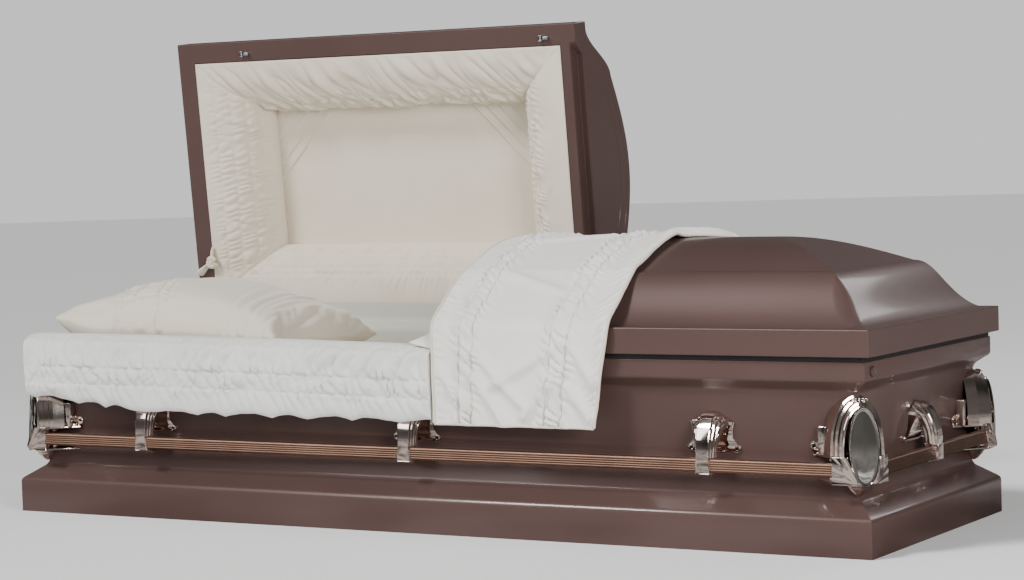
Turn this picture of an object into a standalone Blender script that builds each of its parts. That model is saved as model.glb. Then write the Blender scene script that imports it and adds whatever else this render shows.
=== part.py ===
# Half-couch funeral casket of sheet steel, head lid open, foot lid closed.
# Metres. X runs from the head end (-) to the foot end (+), the front faces -Y,
# and Z is up from the middle of the underside, which is the origin.
import math

import bmesh
import bpy
from mathutils import Matrix, Vector

# Body
BASE_LENGTH = 2.11
BASE_WIDTH = 0.705
SHEET = 0.0012  # sheet steel of the body and both lids
CLEAR = 0.0003  # gap between pieces that touch
BASE_FACE_Z = 0.075  # top of the upright face of the base moulding
BASE_SLOPE_Z = 0.107  # where the slope of the base meets the side
BASE_SLOPE_INSET = 0.045
SEAM_GAP = 0.0004  # between the welded sheets of the body
WAIST_Z = 0.182
WAIST_INSET = 0.058
PANEL_TOP_Z = 0.318
PANEL_TOP_INSET = 0.0415
BAND_BOTTOM_Z = 0.338
BAND_TOP_Z = 0.376
BAND_INSET = 0.0137
FLANGE_INSET = 0.050  # inner edge of the flange that the lids close on
FLANGE_LIP = 0.024

# Seal
SEAL_GAP = 0.0098  # height between the body flange and the lid rims
GASKET_INSET = 0.0165
GASKET_WIDTH = 0.007

# Lids
LID_OVERHANG = 0.0015  # the lids pass the base ends by this much
SPLIT_X = 0.0805  # middle of the gap between the two lids
SPLIT_GAP = 0.002
RIM_HEIGHT = 0.053
RIM_LEDGE = 0.016
RIM_FACE = 0.049  # width of the flat rim face under the lid
CUT_RIM_FACE = 0.0405  # the same at the cut end
SHOULDER_INSET = 0.1335  # where the ogee ends and the crown begins
SHOULDER_HEIGHT = 0.105
CROWN_HEIGHT = 0.060
OGEE_STEPS = 6
CROWN_STEPS = 6
REBATE_DEPTH = 0.016  # step pressed into the cut end of the head lid
REBATE_HEIGHT = 0.031
REBATE_START = 0.044
REBATE_SLANT = 0.031
OPEN_ANGLE = math.radians(84.5)

# Hinges
HINGE_RISE = 0.005  # hinge axis above the body flange
HINGE_WIDTH = 0.060
HINGE_END_INSET = 0.22  # from each lid's end to the middle of its nearest hinge
BARREL_RADIUS = 0.004
PIN_RADIUS = 0.0018
PIN_CLEAR = 0.0004
LEAF_THICK = 0.002
LEAF_HEIGHT = 0.032
BARREL_SIDES = 10

# Catches on the rim face of the head lid
CATCH_INSET = 0.031
CATCH_HEAD_GAP = 0.2085  # from the head end of the lid
CATCH_CUT_GAP = 0.0825  # from the cut end
CATCH_PLATE = (0.030, 0.012, 0.0016)
CATCH_PIN_RADIUS = 0.0028
CATCH_HEAD_RADIUS = 0.0046
CATCH_HEAD_THICK = 0.0022
CATCH_LENGTH = 0.013
CATCH_BLOCK = (0.009, 0.009, 0.007)
CATCH_SLOT_CLEAR = 0.003
CATCH_SIDES = 8

# Handles
BAR_HEIGHT = 0.027
BAR_DEPTH = 0.020
BAR_Z = 0.168  # middle of the bars
BAR_FLUTES = 4
FLUTE_DEPTH = 0.0012
BAR_CORNER = 0.004
BAR_CLEAR = 0.0004
ARM_END_GAP = 0.355  # from each end of the base to its nearest arm
ARM_TOP_Z = 0.270
EAR_HOLE_Z = 0.198
EAR_HOLE_SPACING = 0.101
EAR_HOLE_RADIUS = 0.0036
EAR_RADIUS = 0.0085
ARM_PLATE_THICK = 0.0035
ARM_TOP_HALF_WIDTH = 0.038
ARM_TOP_CUT = 0.45  # share of the half width cut off each upper corner of the plate
ARM_TOP_DROP = 0.018
ARM_RISE = 0.006  # of the plate above the waist
CLASP_HALF_WIDTH = 0.016
CLASP_WALL = 0.0035
HOOD_WALL = 0.004
HOOD_STEP = 0.0035
HOOD_STEPS = 5
HOOD_STEP_END = 0.0004  # height of the ribs where they reach the clasp
HOOD_CENTRE = 0.9  # half width of the raised middle at the top, as a share of the clasp
TAB_HALF_WIDTH = 0.010
TAB_THICK = 0.003

# Corner castings
SOCKET_REACH = 0.080  # how far each socket runs from the corner of the base
SOCKET_DEPTH = 0.030
SOCKET_WALL = 0.003
SOCKET_TOP_Z = 0.195
SOCKET_BOTTOM_Z = 0.141
SHELF_THICK = 0.005
CASTING_BACK = 0.020  # how far the casting's arches run behind the waist before the shell cuts them
ARCH_POWER = 0.85  # under 1 makes the arches fuller than an ellipse
POCKET_LEAD = 0.010
HOOD_RINGS = ((0.055, 0.310, 0.046), (0.050, 0.303, 0.036), (0.044, 0.295, 0.027))
HOOD_RING_WALL = 0.007
RING_SIDES = 10
DROP_RADIUS = 0.026
DROP_BOTTOM_Z = 0.114
DROP_INSET = 0.044
DROP_TIP = 0.2  # radius of its lower end, as a share of the upper
DROP_OVERLAP = 0.002
DROP_SIDES = 12
ROSETTE_RADIUS = 0.010
ROSETTE_HALF_HEIGHT = 0.006
CORNER_EAR_REACH = 0.139  # ear hole from the corner of the base
CORNER_EAR_Z = 0.209
CORNER_EAR_THICK = 0.003
BOSS_SIZE = (0.014, 0.011, 0.016)
MEDALLION_HEIGHT = 0.152
MEDALLION_WIDTH = 0.063
MEDALLION_THICK = 0.007
MEDALLION_RIM = 0.003
MEDALLION_Z = 0.214
MEDALLION_INSET = 0.018
MEDALLION_SIDES = 20

# Plug in the band of the foot end
PLUG_RADIUS = 0.010
PLUG_THICK = 0.006
PLUG_INSET = 0.0475  # from the front edge of the base
PLUG_Z = 0.356
PLUG_SIDES = 16

# Soft goods
LINING_THICK = 0.006
LINING_INSET = 0.060
LINING_BOTTOM_Z = 0.100
PANEL_DEPTH = 0.120  # of the flat lid lining panel above the rim
PANEL_THICK = 0.006
ROLL_MARGINS = (0.121, 0.128, 0.143, 0.146)  # front, hinge side, head end, cut end
ROLL_STEPS = 6
ROLL_THICK = 0.022
FOOT_LINING_DEPTH = 0.045
BED_TOP_Z = 0.200
BED_RAIL = 0.022
BED_SIDE_GAP = 0.0215
BED_END_GAP = 0.080
MATTRESS_END_GAP = 0.010
MATTRESS_THICK = 0.070
MATTRESS_HEAD_RISE = 0.055
MATTRESS_HEAD_RUN = 0.649  # length of the raised part
MATTRESS_SLOPE_RUN = 0.290
PILLOW_LENGTH = 0.600
PILLOW_DEPTH = 0.425
PILLOW_THICK = 0.190
PILLOW_HEAD_GAP = 0.009
PILLOW_SIDE_GAP = 0.004
PILLOW_SEAM = 0.40  # height of the seam as a share of the thickness
PILLOW_PINCH = 0.06  # how far each side draws in between the corners
PILLOW_FULLNESS = 0.45  # under 1 makes the pillow fuller
PILLOW_TILT = 0.020  # the head-end front corner lies higher than the far one
COVER_THICK = 0.004
COVER_TOP_Z = 0.438
COVER_DROP_Z = 0.335
EXTENDOVER_HEAD_GAP = 0.035  # from the head end of the base
EXTENDOVER_CUT_GAP = 0.0025  # from the cut end of the head lid
EXTENDOVER_TOP_Z = 0.404
EXTENDOVER_DROP = (0.272, 0.240)  # lower edge at the head end and at the lid split
EXTENDOVER_THICK = 0.017
EXTENDOVER_OUT = 0.019  # its outer face stands in front of the base by this
EXTENDOVER_TUCK = 0.045  # how far it goes down inside the body
EXTENDOVER_EDGE = 0.004  # drop of its rounded upper edges
EXTENDOVER_BELLY = 0.010  # fullest this far above the lower edge of the band
EXTENDOVER_HEM = 0.008  # height of the rounded hem
EXTENDOVER_STEPS = 11
THROW_LEFT = 0.004  # from the foot lid's cut end
THROW_WIDTH = 0.415
THROW_TAPER = 0.035  # the front hem is narrower by this
THROW_DROP_Z = 0.235
THROW_BACK_Y = 0.100
THROW_GAP = 0.002
THROW_THICK = 0.010
TIE_FROM_BACK = 0.150
TIE_ALONG = 0.6  # place across the rim face
TIE_SIZE = (0.026, 0.040, 0.016)

# Derived places
HALF_L = BASE_LENGTH / 2
HALF_W = BASE_WIDTH / 2
INNER_HALF_L = HALF_L - LINING_INSET - LINING_THICK
INNER_HALF_W = HALF_W - LINING_INSET - LINING_THICK
BED_HALF_WIDTH = INNER_HALF_W - BED_SIDE_GAP
PILLOW_X = -INNER_HALF_L + PILLOW_HEAD_GAP + PILLOW_LENGTH / 2
PILLOW_Y = -INNER_HALF_W + PILLOW_SIDE_GAP + PILLOW_DEPTH / 2
RIM_Z = BAND_TOP_Z + SEAL_GAP
LID_HALF_L = HALF_L + LID_OVERHANG
HEAD_CUT_X = SPLIT_X - SPLIT_GAP / 2
FOOT_CUT_X = SPLIT_X + SPLIT_GAP / 2
CATCH_X = (-LID_HALF_L + CATCH_HEAD_GAP, HEAD_CUT_X - CATCH_CUT_GAP)
ARM_X = (-HALF_L + ARM_END_GAP, 0.0, HALF_L - ARM_END_GAP)
CUT_PAST = 0.02  # cutting shapes run past the surfaces they cut by this
HINGE_Y = HALF_W
HINGE_Z = BAND_TOP_Z + HINGE_RISE
BODY_PROFILE = (
    (0.0, 0.0),
    (0.0, BASE_FACE_Z),
    (BASE_SLOPE_INSET, BASE_SLOPE_Z),
    (WAIST_INSET, WAIST_Z),
    (PANEL_TOP_INSET, PANEL_TOP_Z),
    (BAND_INSET, BAND_BOTTOM_Z),
    (BAND_INSET, BAND_TOP_Z),
)

# Finishes: colour, metallic, roughness
PAINT = ((0.13, 0.085, 0.080), 0.7, 0.32)
CHROME = ((0.72, 0.64, 0.60), 1.0, 0.12)
BRONZE = ((0.23, 0.13, 0.095), 0.8, 0.35)
ZINC = ((0.45, 0.46, 0.48), 1.0, 0.35)
STEEL = ((0.35, 0.35, 0.36), 1.0, 0.45)
RUBBER = ((0.015, 0.015, 0.015), 0.0, 0.8)
CREAM = ((0.75, 0.69, 0.58), 0.0, 0.75)
WHITE = ((0.72, 0.72, 0.68), 0.0, 0.7)
GREY_GREEN = ((0.62, 0.63, 0.56), 0.0, 0.75)


def material(name, finish):
    mat = bpy.data.materials.get(name)
    if mat:
        return mat
    colour, metallic, roughness = finish
    mat = bpy.data.materials.new(name)
    mat.use_nodes = True
    shader = mat.node_tree.nodes["Principled BSDF"]
    shader.inputs["Base Color"].default_value = (*colour, 1)
    shader.inputs["Metallic"].default_value = metallic
    shader.inputs["Roughness"].default_value = roughness
    return mat


def to_mesh(bm, name):
    mesh = bpy.data.meshes.new(name)
    bm.to_mesh(mesh)
    bm.free()
    return mesh


def place(name, mesh, finish_name, finish, matrix=None, parent=None):
    obj = bpy.data.objects.new(name, mesh)
    bpy.context.scene.collection.objects.link(obj)
    if not mesh.materials:
        mesh.materials.append(material(finish_name, finish))
    if parent:
        obj.parent = parent
    if matrix:
        obj.matrix_local = matrix
    return obj


def faces_out(bm):
    bmesh.ops.remove_doubles(bm, verts=bm.verts, dist=1e-6)
    bmesh.ops.recalc_face_normals(bm, faces=bm.faces)
    return bm


def extruded(outline, push):
    # A closed prism: a flat outline of 3-D points, pushed along a vector.
    bm = bmesh.new()
    near = [bm.verts.new(p) for p in outline]
    far = [bm.verts.new(Vector(p) + Vector(push)) for p in outline]
    bm.faces.new(near)
    bm.faces.new(list(reversed(far)))
    count = len(near)
    for i in range(count):
        j = (i + 1) % count
        bm.faces.new((near[j], near[i], far[i], far[j]))
    return faces_out(bm)


def block(low, high):
    outline = [(low[0], low[1], low[2]), (high[0], low[1], low[2]), (high[0], high[1], low[2]),
               (low[0], high[1], low[2])]
    return extruded(outline, (0, 0, high[2] - low[2]))


def lofted(sections, ring=False):
    # Closed sections of equal length joined in turn; ring closes the last onto the first.
    bm = bmesh.new()
    rows = [[bm.verts.new(p) for p in section] for section in sections]
    count = len(rows[0])
    pairs = list(zip(rows, rows[1:]))
    if ring:
        pairs.append((rows[-1], rows[0]))
    for a, b in pairs:
        for i in range(count):
            j = (i + 1) % count
            bm.faces.new((a[i], a[j], b[j], b[i]))
    if not ring:
        bm.faces.new(list(reversed(rows[0])))
        bm.faces.new(rows[-1])
    return faces_out(bm)


def cylinder(centre, axis, radius, length, sides):
    bm = bmesh.new()
    turn = Vector((0, 0, 1)).rotation_difference(Vector(axis)).to_matrix().to_4x4()
    bmesh.ops.create_cone(bm, cap_ends=True, segments=sides, radius1=radius, radius2=radius,
                          depth=length, matrix=Matrix.Translation(centre) @ turn)
    return bm


def ellipsoid(centre, half, columns, rows):
    bm = bmesh.new()
    scale = Matrix.Diagonal((*half, 1))
    bmesh.ops.create_uvsphere(bm, u_segments=columns, v_segments=rows, radius=1,
                              matrix=Matrix.Translation(centre) @ scale)
    return bm


def combined(name, base, adds=(), cuts=()):
    # One closed mesh from bmesh parts, by exact union and difference.
    helpers = []
    core = place(name + "_core", to_mesh(base, name), "helper", STEEL)
    for kind, parts in (("UNION", adds), ("DIFFERENCE", cuts)):
        for part in parts:
            helper = place(name + "_helper", to_mesh(part, name + "_part"), "helper", STEEL)
            helpers.append(helper)
            modifier = core.modifiers.new(kind.lower(), "BOOLEAN")
            modifier.operation = kind
            modifier.solver = "EXACT"
            modifier.object = helper
    bpy.context.view_layer.update()
    graph = bpy.context.evaluated_depsgraph_get()
    mesh = bpy.data.meshes.new_from_object(core.evaluated_get(graph))
    for obj in [core, *helpers]:
        bpy.data.objects.remove(obj)
    mesh.materials.clear()
    bm = bmesh.new()
    bm.from_mesh(mesh)
    bmesh.ops.remove_doubles(bm, verts=bm.verts, dist=1e-5)
    bmesh.ops.dissolve_limit(bm, angle_limit=math.radians(0.5), verts=bm.verts, edges=bm.edges)
    bm.to_mesh(mesh)
    bm.free()
    return mesh


def solidified(name, mesh, finish_name, finish, parent=None):
    obj = place(name, mesh, finish_name, finish, parent=parent)
    wall = obj.modifiers.new("sheet", "SOLIDIFY")
    wall.thickness = SHEET
    wall.offset = -1
    wall.use_even_offset = True
    return obj


def body_inset(z):
    # Inset of the body's outer face from the base edge at a height.
    for (s0, z0), (s1, z1) in zip(BODY_PROFILE[1:], BODY_PROFILE[2:]):
        if z0 <= z <= z1:
            return s0 + (s1 - s0) * (z - z0) / (z1 - z0)
    return BAND_INSET


def body_ring(inset, z):
    x, y = HALF_L - inset, HALF_W - inset
    return [(-x, -y, z), (x, -y, z), (x, y, z), (-x, y, z)]


def mitred_ring(outline):
    # A ring around the casket from a closed cross-section of (inset, z) points.
    corners = [[body_ring(s, z)[k] for s, z in outline] for k in range(4)]
    return lofted(corners, ring=True)


def body_sheet(name, profile, bottom=False):
    # One welded sheet of the body: a band around it, with the bottom where asked for.
    bm = bmesh.new()
    rows = [[bm.verts.new(p) for p in body_ring(s, z)] for s, z in profile]
    if bottom:
        bm.faces.new(list(reversed(rows[0])))
    for a, b in zip(rows, rows[1:]):
        for i in range(4):
            j = (i + 1) % 4
            bm.faces.new((a[i], a[j], b[j], b[i]))
    return solidified(name, to_mesh(bm, name), "plum paint", PAINT)


def make_body():
    base, waist = BODY_PROFILE[2], BODY_PROFILE[3]
    body_sheet("base_pan", BODY_PROFILE[:3], bottom=True)
    body_sheet("lower_panel", [(base[0], base[1] + SEAM_GAP), (waist[0], waist[1] - SEAM_GAP)])
    flange = [(FLANGE_INSET, BAND_TOP_Z), (FLANGE_INSET, BAND_TOP_Z - FLANGE_LIP)]
    shell = body_sheet("body_shell", [*BODY_PROFILE[3:], *flange])
    half_x = CATCH_PLATE[0] / 2 + CATCH_SLOT_CLEAR
    half_y = CATCH_HEAD_RADIUS + CATCH_SLOT_CLEAR
    y = -HALF_W + CATCH_INSET
    for number, x in enumerate(CATCH_X, 1):
        slot = block((x - half_x, y - half_y, BAND_TOP_Z - 2 * SHEET), (x + half_x, y + half_y, BAND_TOP_Z + SHEET))
        cutter = place(f"catch_slot_{number}", to_mesh(slot, "catch_slot"), "helper", STEEL)
        cutter.hide_render = True
        cutter.display_type = "WIRE"
        cut = shell.modifiers.new("catch slot", "BOOLEAN")
        cut.operation = "DIFFERENCE"
        cut.solver = "EXACT"
        cut.object = cutter


def make_gasket():
    low, high = BAND_TOP_Z + CLEAR, RIM_Z - CLEAR
    s0, s1 = GASKET_INSET, GASKET_INSET + GASKET_WIDTH
    bm = mitred_ring([(s0, low), (s1, low), (s1, high), (s0, high)])
    place("gasket", to_mesh(bm, "gasket"), "black rubber", RUBBER)


def lid_profile():
    # (inset, height) from the rim's lower edge up to the ridge.
    points = [(0.0, 0.0), (0.0, RIM_HEIGHT), (RIM_LEDGE, RIM_HEIGHT)]
    for i in range(1, OGEE_STEPS + 1):
        t = i / OGEE_STEPS
        rise = t * t * (3 - 2 * t)
        points.append((RIM_LEDGE + (SHOULDER_INSET - RIM_LEDGE) * t, RIM_HEIGHT + SHOULDER_HEIGHT * rise))
    for i in range(1, CROWN_STEPS + 1):
        t = i / CROWN_STEPS
        rise = CROWN_HEIGHT * math.sin(math.pi / 2 * t)
        points.append((SHOULDER_INSET + (HALF_W - SHOULDER_INSET) * t, RIM_HEIGHT + SHOULDER_HEIGHT + rise))
    return points


def lid_height(inset):
    points = lid_profile()[2:]
    for (d0, h0), (d1, h1) in zip(points, points[1:]):
        if d0 <= inset <= d1:
            return h0 + (h1 - h0) * (inset - d0) / (d1 - d0)
    return RIM_HEIGHT if inset < RIM_LEDGE else points[-1][1]


def lid_sheet(outer_x, cut_x, rebate):
    # The open outer surface of a closed lid, in body coordinates.
    toward = 1 if cut_x > outer_x else -1
    bm = bmesh.new()
    rows = []
    for inset, height in lid_profile():
        x, y, z = outer_x + toward * inset, HALF_W - inset, RIM_Z + height
        corners = ((cut_x, -y, z), (x, -y, z), (x, y, z), (cut_x, y, z))
        rows.append([bm.verts.new(c) for c in corners])
    for a, b in zip(rows, rows[1:]):
        for i in range(3):
            bm.faces.new((a[i], a[i + 1], b[i + 1], b[i]))
    front_low, back_low = rows[0][0], rows[0][3]
    end_outline = [row[0] for row in rows] + [row[3] for row in reversed(rows)]

    # The rim face around the opening, and the rebate in the cut end
    open_outer = outer_x + toward * RIM_FACE
    open_cut = cut_x - toward * CUT_RIM_FACE
    open_y = HALF_W - RIM_FACE
    opening = [bm.verts.new(p) for p in ((open_cut, -open_y, RIM_Z), (open_outer, -open_y, RIM_Z),
                                         (open_outer, open_y, RIM_Z), (open_cut, open_y, RIM_Z))]
    if rebate:
        start_y, top_y = HALF_W - REBATE_START, HALF_W - REBATE_START - REBATE_SLANT
        route = ((start_y, RIM_Z), (top_y, RIM_Z + REBATE_HEIGHT), (-top_y, RIM_Z + REBATE_HEIGHT), (-start_y, RIM_Z))
        step_x = cut_x - toward * REBATE_DEPTH
        outer_edge = [bm.verts.new((cut_x, y, z)) for y, z in route]
        inner_edge = [bm.verts.new((step_x, y, z)) for y, z in route]
        end_outline += outer_edge
        for i in range(3):
            bm.faces.new((outer_edge[i], outer_edge[i + 1], inner_edge[i + 1], inner_edge[i]))
        bm.faces.new(inner_edge)
        bm.faces.new((front_low, rows[0][1], opening[1], opening[0], inner_edge[3], outer_edge[3]))
        bm.faces.new((opening[0], opening[3], inner_edge[0], inner_edge[3]))
        bm.faces.new((back_low, outer_edge[0], inner_edge[0], opening[3], opening[2], rows[0][2]))
    else:
        bm.faces.new((front_low, rows[0][1], opening[1], opening[0]))
        bm.faces.new((opening[0], opening[3], back_low, front_low))
        bm.faces.new((back_low, opening[3], opening[2], rows[0][2]))
    bm.faces.new((rows[0][1], rows[0][2], opening[2], opening[1]))
    bm.faces.new(end_outline)
    return faces_out(bm)


def hinge_empty(name, angle):
    empty = bpy.data.objects.new(name, None)
    bpy.context.scene.collection.objects.link(empty)
    empty.location = (0, HINGE_Y, HINGE_Z)
    empty.rotation_euler = (-angle, 0, 0)
    return empty


def about_hinge(bm):
    bmesh.ops.translate(bm, verts=bm.verts, vec=(0, -HINGE_Y, -HINGE_Z))
    return bm


def hinge_positions(x0, x1):
    low, high = min(x0, x1), max(x0, x1)
    return (low + HINGE_END_INSET, high - HINGE_END_INSET)


def hinge_leaves(x):
    # Outer knuckles with the pin on the body leaf, the middle knuckle on the lid leaf.
    third = HINGE_WIDTH / 3
    axis = (x, HINGE_Y, HINGE_Z)
    along = (1, 0, 0)
    band_y = HALF_W - BAND_INSET + CLEAR
    half = HINGE_WIDTH / 2
    neck_z = HINGE_Z - LEAF_THICK / 2
    leaf = [(x - half, band_y, BAND_TOP_Z - LEAF_HEIGHT), (x - half, band_y, neck_z),
            (x - half, band_y + LEAF_THICK, neck_z), (x - half, band_y + LEAF_THICK, BAND_TOP_Z - LEAF_HEIGHT)]
    body = extruded(leaf, (HINGE_WIDTH, 0, 0))
    adds = [cylinder(axis, along, PIN_RADIUS, HINGE_WIDTH - third / 2, BARREL_SIDES)]
    for side in (-1, 1):
        centre = x + side * third
        knuckle_half = third / 2 - PIN_CLEAR
        adds.append(cylinder((centre, HINGE_Y, HINGE_Z), along, BARREL_RADIUS, 2 * knuckle_half, BARREL_SIDES))
        neck = block((centre - knuckle_half, band_y + LEAF_THICK / 2, neck_z - LEAF_THICK),
                     (centre + knuckle_half, HINGE_Y, neck_z))
        adds.append(neck)
    body_mesh = combined("hinge_body_leaf", body, adds)

    wall_y = HALF_W + CLEAR
    knuckle_half = third / 2 - PIN_CLEAR
    strap_low = RIM_Z + LEAF_THICK
    strap = block((x - half, wall_y, strap_low), (x + half, wall_y + LEAF_THICK, strap_low + LEAF_HEIGHT))
    neck = block((x - knuckle_half, wall_y, HINGE_Z), (x + knuckle_half, wall_y + LEAF_THICK, strap_low + LEAF_THICK))
    barrel = cylinder(axis, along, BARREL_RADIUS, 2 * knuckle_half, BARREL_SIDES)
    bore = cylinder(axis, along, PIN_RADIUS + PIN_CLEAR, HINGE_WIDTH, BARREL_SIDES)
    lid_mesh = combined("hinge_lid_leaf", strap, [neck, barrel], [bore])
    lid_mesh.transform(Matrix.Translation((0, -HINGE_Y, -HINGE_Z)))
    return body_mesh, lid_mesh


def make_catch(number, x, parent):
    # The catch stands down from the rim face when the lid is closed.
    y = -HALF_W + CATCH_INSET
    top = RIM_Z - CLEAR
    long, wide, thick = CATCH_PLATE
    plate = block((x - long / 2, y - wide / 2, top - thick), (x + long / 2, y + wide / 2, top))
    pin_x = x - long / 4
    pin = cylinder((pin_x, y, top - CATCH_LENGTH / 2), (0, 0, 1), CATCH_PIN_RADIUS, CATCH_LENGTH,
                   CATCH_SIDES)
    head_z = top - CATCH_LENGTH + CATCH_HEAD_THICK / 2
    head = cylinder((pin_x, y, head_z), (0, 0, 1), CATCH_HEAD_RADIUS, CATCH_HEAD_THICK, CATCH_SIDES)
    bx, by, bz = CATCH_BLOCK
    block_x = x + long / 4
    stud = block((block_x - bx / 2, y - by / 2, top - thick - bz), (block_x + bx / 2, y + by / 2, top - thick / 2))
    mesh = combined("catch", plate, [pin, head, stud])
    mesh.transform(Matrix.Translation((0, -HINGE_Y, -HINGE_Z)))
    place(f"lid_catch_{number}", mesh, "zinc", ZINC, parent=parent)


def make_lids():
    head = hinge_empty("head_lid_hinge", OPEN_ANGLE)
    foot = hinge_empty("foot_lid_hinge", 0.0)
    sheets = (("head_lid_shell", -LID_HALF_L, HEAD_CUT_X, True, head, "head_hinge"),
              ("foot_lid_shell", LID_HALF_L, FOOT_CUT_X, False, foot, "foot_hinge"))
    for name, outer_x, cut_x, rebate, parent, hinge_name in sheets:
        bm = about_hinge(lid_sheet(outer_x, cut_x, rebate))
        solidified(name, to_mesh(bm, name), "plum paint", PAINT, parent=parent)
        for number, x in enumerate(hinge_positions(outer_x, cut_x), 1):
            body_mesh, lid_mesh = hinge_leaves(x)
            place(f"{hinge_name}_{number}_body_leaf", body_mesh, "steel", STEEL)
            place(f"{hinge_name}_{number}_lid_leaf", lid_mesh, "steel", STEEL, parent=parent)
    for number, x in enumerate(CATCH_X, 1):
        make_catch(number, x, head)
    make_lid_lining(head)
    make_foot_lining(foot)
    make_tie(head)
    make_throw(foot)


def make_lid_lining(parent):
    # Puffed rolls from the rim opening back to a flat panel, in mitred corners.
    front, hinge, head_end, cut_end = ROLL_MARGINS
    x0 = -LID_HALF_L + RIM_FACE + CLEAR
    x1 = HEAD_CUT_X - CUT_RIM_FACE - CLEAR
    y = HALF_W - RIM_FACE - CLEAR
    edges = ((x0, head_end, 1), (x1, cut_end, -1)), ((-y, front, 1), (y, hinge, -1))

    def corner(x_edge, y_edge):
        section = []
        for reach, depth in roll_section():
            x = x_edge[0] + x_edge[2] * x_edge[1] * reach
            section.append((x, y_edge[0] + y_edge[2] * y_edge[1] * reach, RIM_Z + depth))
        return section

    (left, right), (low, high) = edges
    corners = [corner(left, low), corner(right, low), corner(right, high), corner(left, high)]
    rolls = about_hinge(lofted(corners, ring=True))
    place("head_lid_rolls", to_mesh(rolls, "head_lid_rolls"), "cream cloth", CREAM, parent=parent)

    depth = RIM_Z + PANEL_DEPTH + CLEAR
    panel = block((x0 + head_end - ROLL_THICK, -y + front - ROLL_THICK, depth),
                  (x1 - cut_end + ROLL_THICK, y - hinge + ROLL_THICK, depth + PANEL_THICK))
    place("head_lid_panel", to_mesh(about_hinge(panel), "head_lid_panel"), "cream cloth", CREAM, parent=parent)


def roll_section():
    # (share of the margin, depth) around a quarter-round of cloth and its back.
    front = []
    for i in range(ROLL_STEPS + 1):
        turn = math.pi / 2 * i / ROLL_STEPS
        front.append((math.sin(turn), PANEL_DEPTH - (PANEL_DEPTH - SHEET) * math.cos(turn)))
    back = []
    for i in range(1, ROLL_STEPS):
        turn = math.pi / 2 * i / ROLL_STEPS
        share = math.sin(turn) * (1 - ROLL_THICK / PANEL_DEPTH)
        depth = PANEL_DEPTH - (PANEL_DEPTH - SHEET - ROLL_THICK) * math.cos(turn)
        back.append((share, min(depth, PANEL_DEPTH)))
    return front + list(reversed(back))


def make_foot_lining(parent):
    # A plain cloth-covered tray fills the opening under the foot lid.
    x0 = FOOT_CUT_X + CUT_RIM_FACE + CLEAR
    x1 = LID_HALF_L - RIM_FACE - CLEAR
    y = HALF_W - RIM_FACE - CLEAR
    low, high = RIM_Z, RIM_Z + FOOT_LINING_DEPTH
    tray = block((x0, -y, low), (x1, y, high))
    wall = LINING_THICK
    hollow = block((x0 + wall, -y + wall, low - wall), (x1 - wall, y - wall, high - wall))
    mesh = combined("foot_lid_lining", tray, cuts=[hollow])
    mesh.transform(Matrix.Translation((0, -HINGE_Y, -HINGE_Z)))
    place("foot_lid_lining", mesh, "cream cloth", CREAM, parent=parent)


def make_tie(parent):
    # A knotted cloth tie on the rim face at the head end.
    x = -LID_HALF_L + RIM_FACE * TIE_ALONG
    half = [v / 2 for v in TIE_SIZE]
    y = HALF_W - TIE_FROM_BACK
    knot = ellipsoid((x, y, RIM_Z - CLEAR - half[2]), half, 8, 5)
    place("lining_tie", to_mesh(about_hinge(knot), "lining_tie"), "cream cloth", CREAM, parent=parent)


def throw_route():
    # (y, z) along the upper side of the foot lid, from the front hem to the back hem.
    points = [(-HALF_W, THROW_DROP_Z), (-HALF_W, RIM_Z + RIM_HEIGHT)]
    crown = [(HALF_W - inset, RIM_Z + height) for inset, height in lid_profile()[2 + OGEE_STEPS - 1:]]
    points += [(-y, z) for y, z in crown]
    points += [(y, z) for y, z in reversed(crown[:-1]) if y < THROW_BACK_Y]
    points.append((THROW_BACK_Y, RIM_Z + lid_height(HALF_W - THROW_BACK_Y)))
    return points


def offset_route(points, distance):
    moved = []
    for i, (y, z) in enumerate(points):
        before, after = points[max(i - 1, 0)], points[min(i + 1, len(points) - 1)]
        run = Vector((after[0] - before[0], after[1] - before[1])).normalized()
        moved.append((y - run.y * distance, z + run.x * distance))
    return moved


def make_throw(parent):
    route = throw_route()
    outline = offset_route(route, THROW_GAP) + list(reversed(offset_route(route, THROW_GAP + THROW_THICK)))
    left = FOOT_CUT_X + THROW_LEFT
    top = RIM_Z + RIM_HEIGHT

    def right_at(z):
        drop = max(0.0, min(1.0, (top - z) / (top - THROW_DROP_Z)))
        return left + THROW_WIDTH - THROW_TAPER * drop

    sections = [[(left, y, z) for y, z in outline], [(right_at(z), y, z) for y, z in outline]]
    bm = about_hinge(lofted(sections))
    place("throw", to_mesh(bm, "throw"), "white cloth", WHITE, parent=parent)


def make_body_lining():
    top, step = BAND_TOP_Z - CLEAR, LINING_THICK
    lip = FLANGE_INSET + CLEAR
    lip_low = BAND_TOP_Z - FLANGE_LIP
    outline = [(lip, top), (lip + step, top), (LINING_INSET + step, lip_low), (LINING_INSET + step, LINING_BOTTOM_Z),
               (LINING_INSET, LINING_BOTTOM_Z), (LINING_INSET, lip_low - step), (lip, lip_low)]
    place("body_lining", to_mesh(mitred_ring(outline), "body_lining"), "cream cloth", CREAM)


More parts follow.
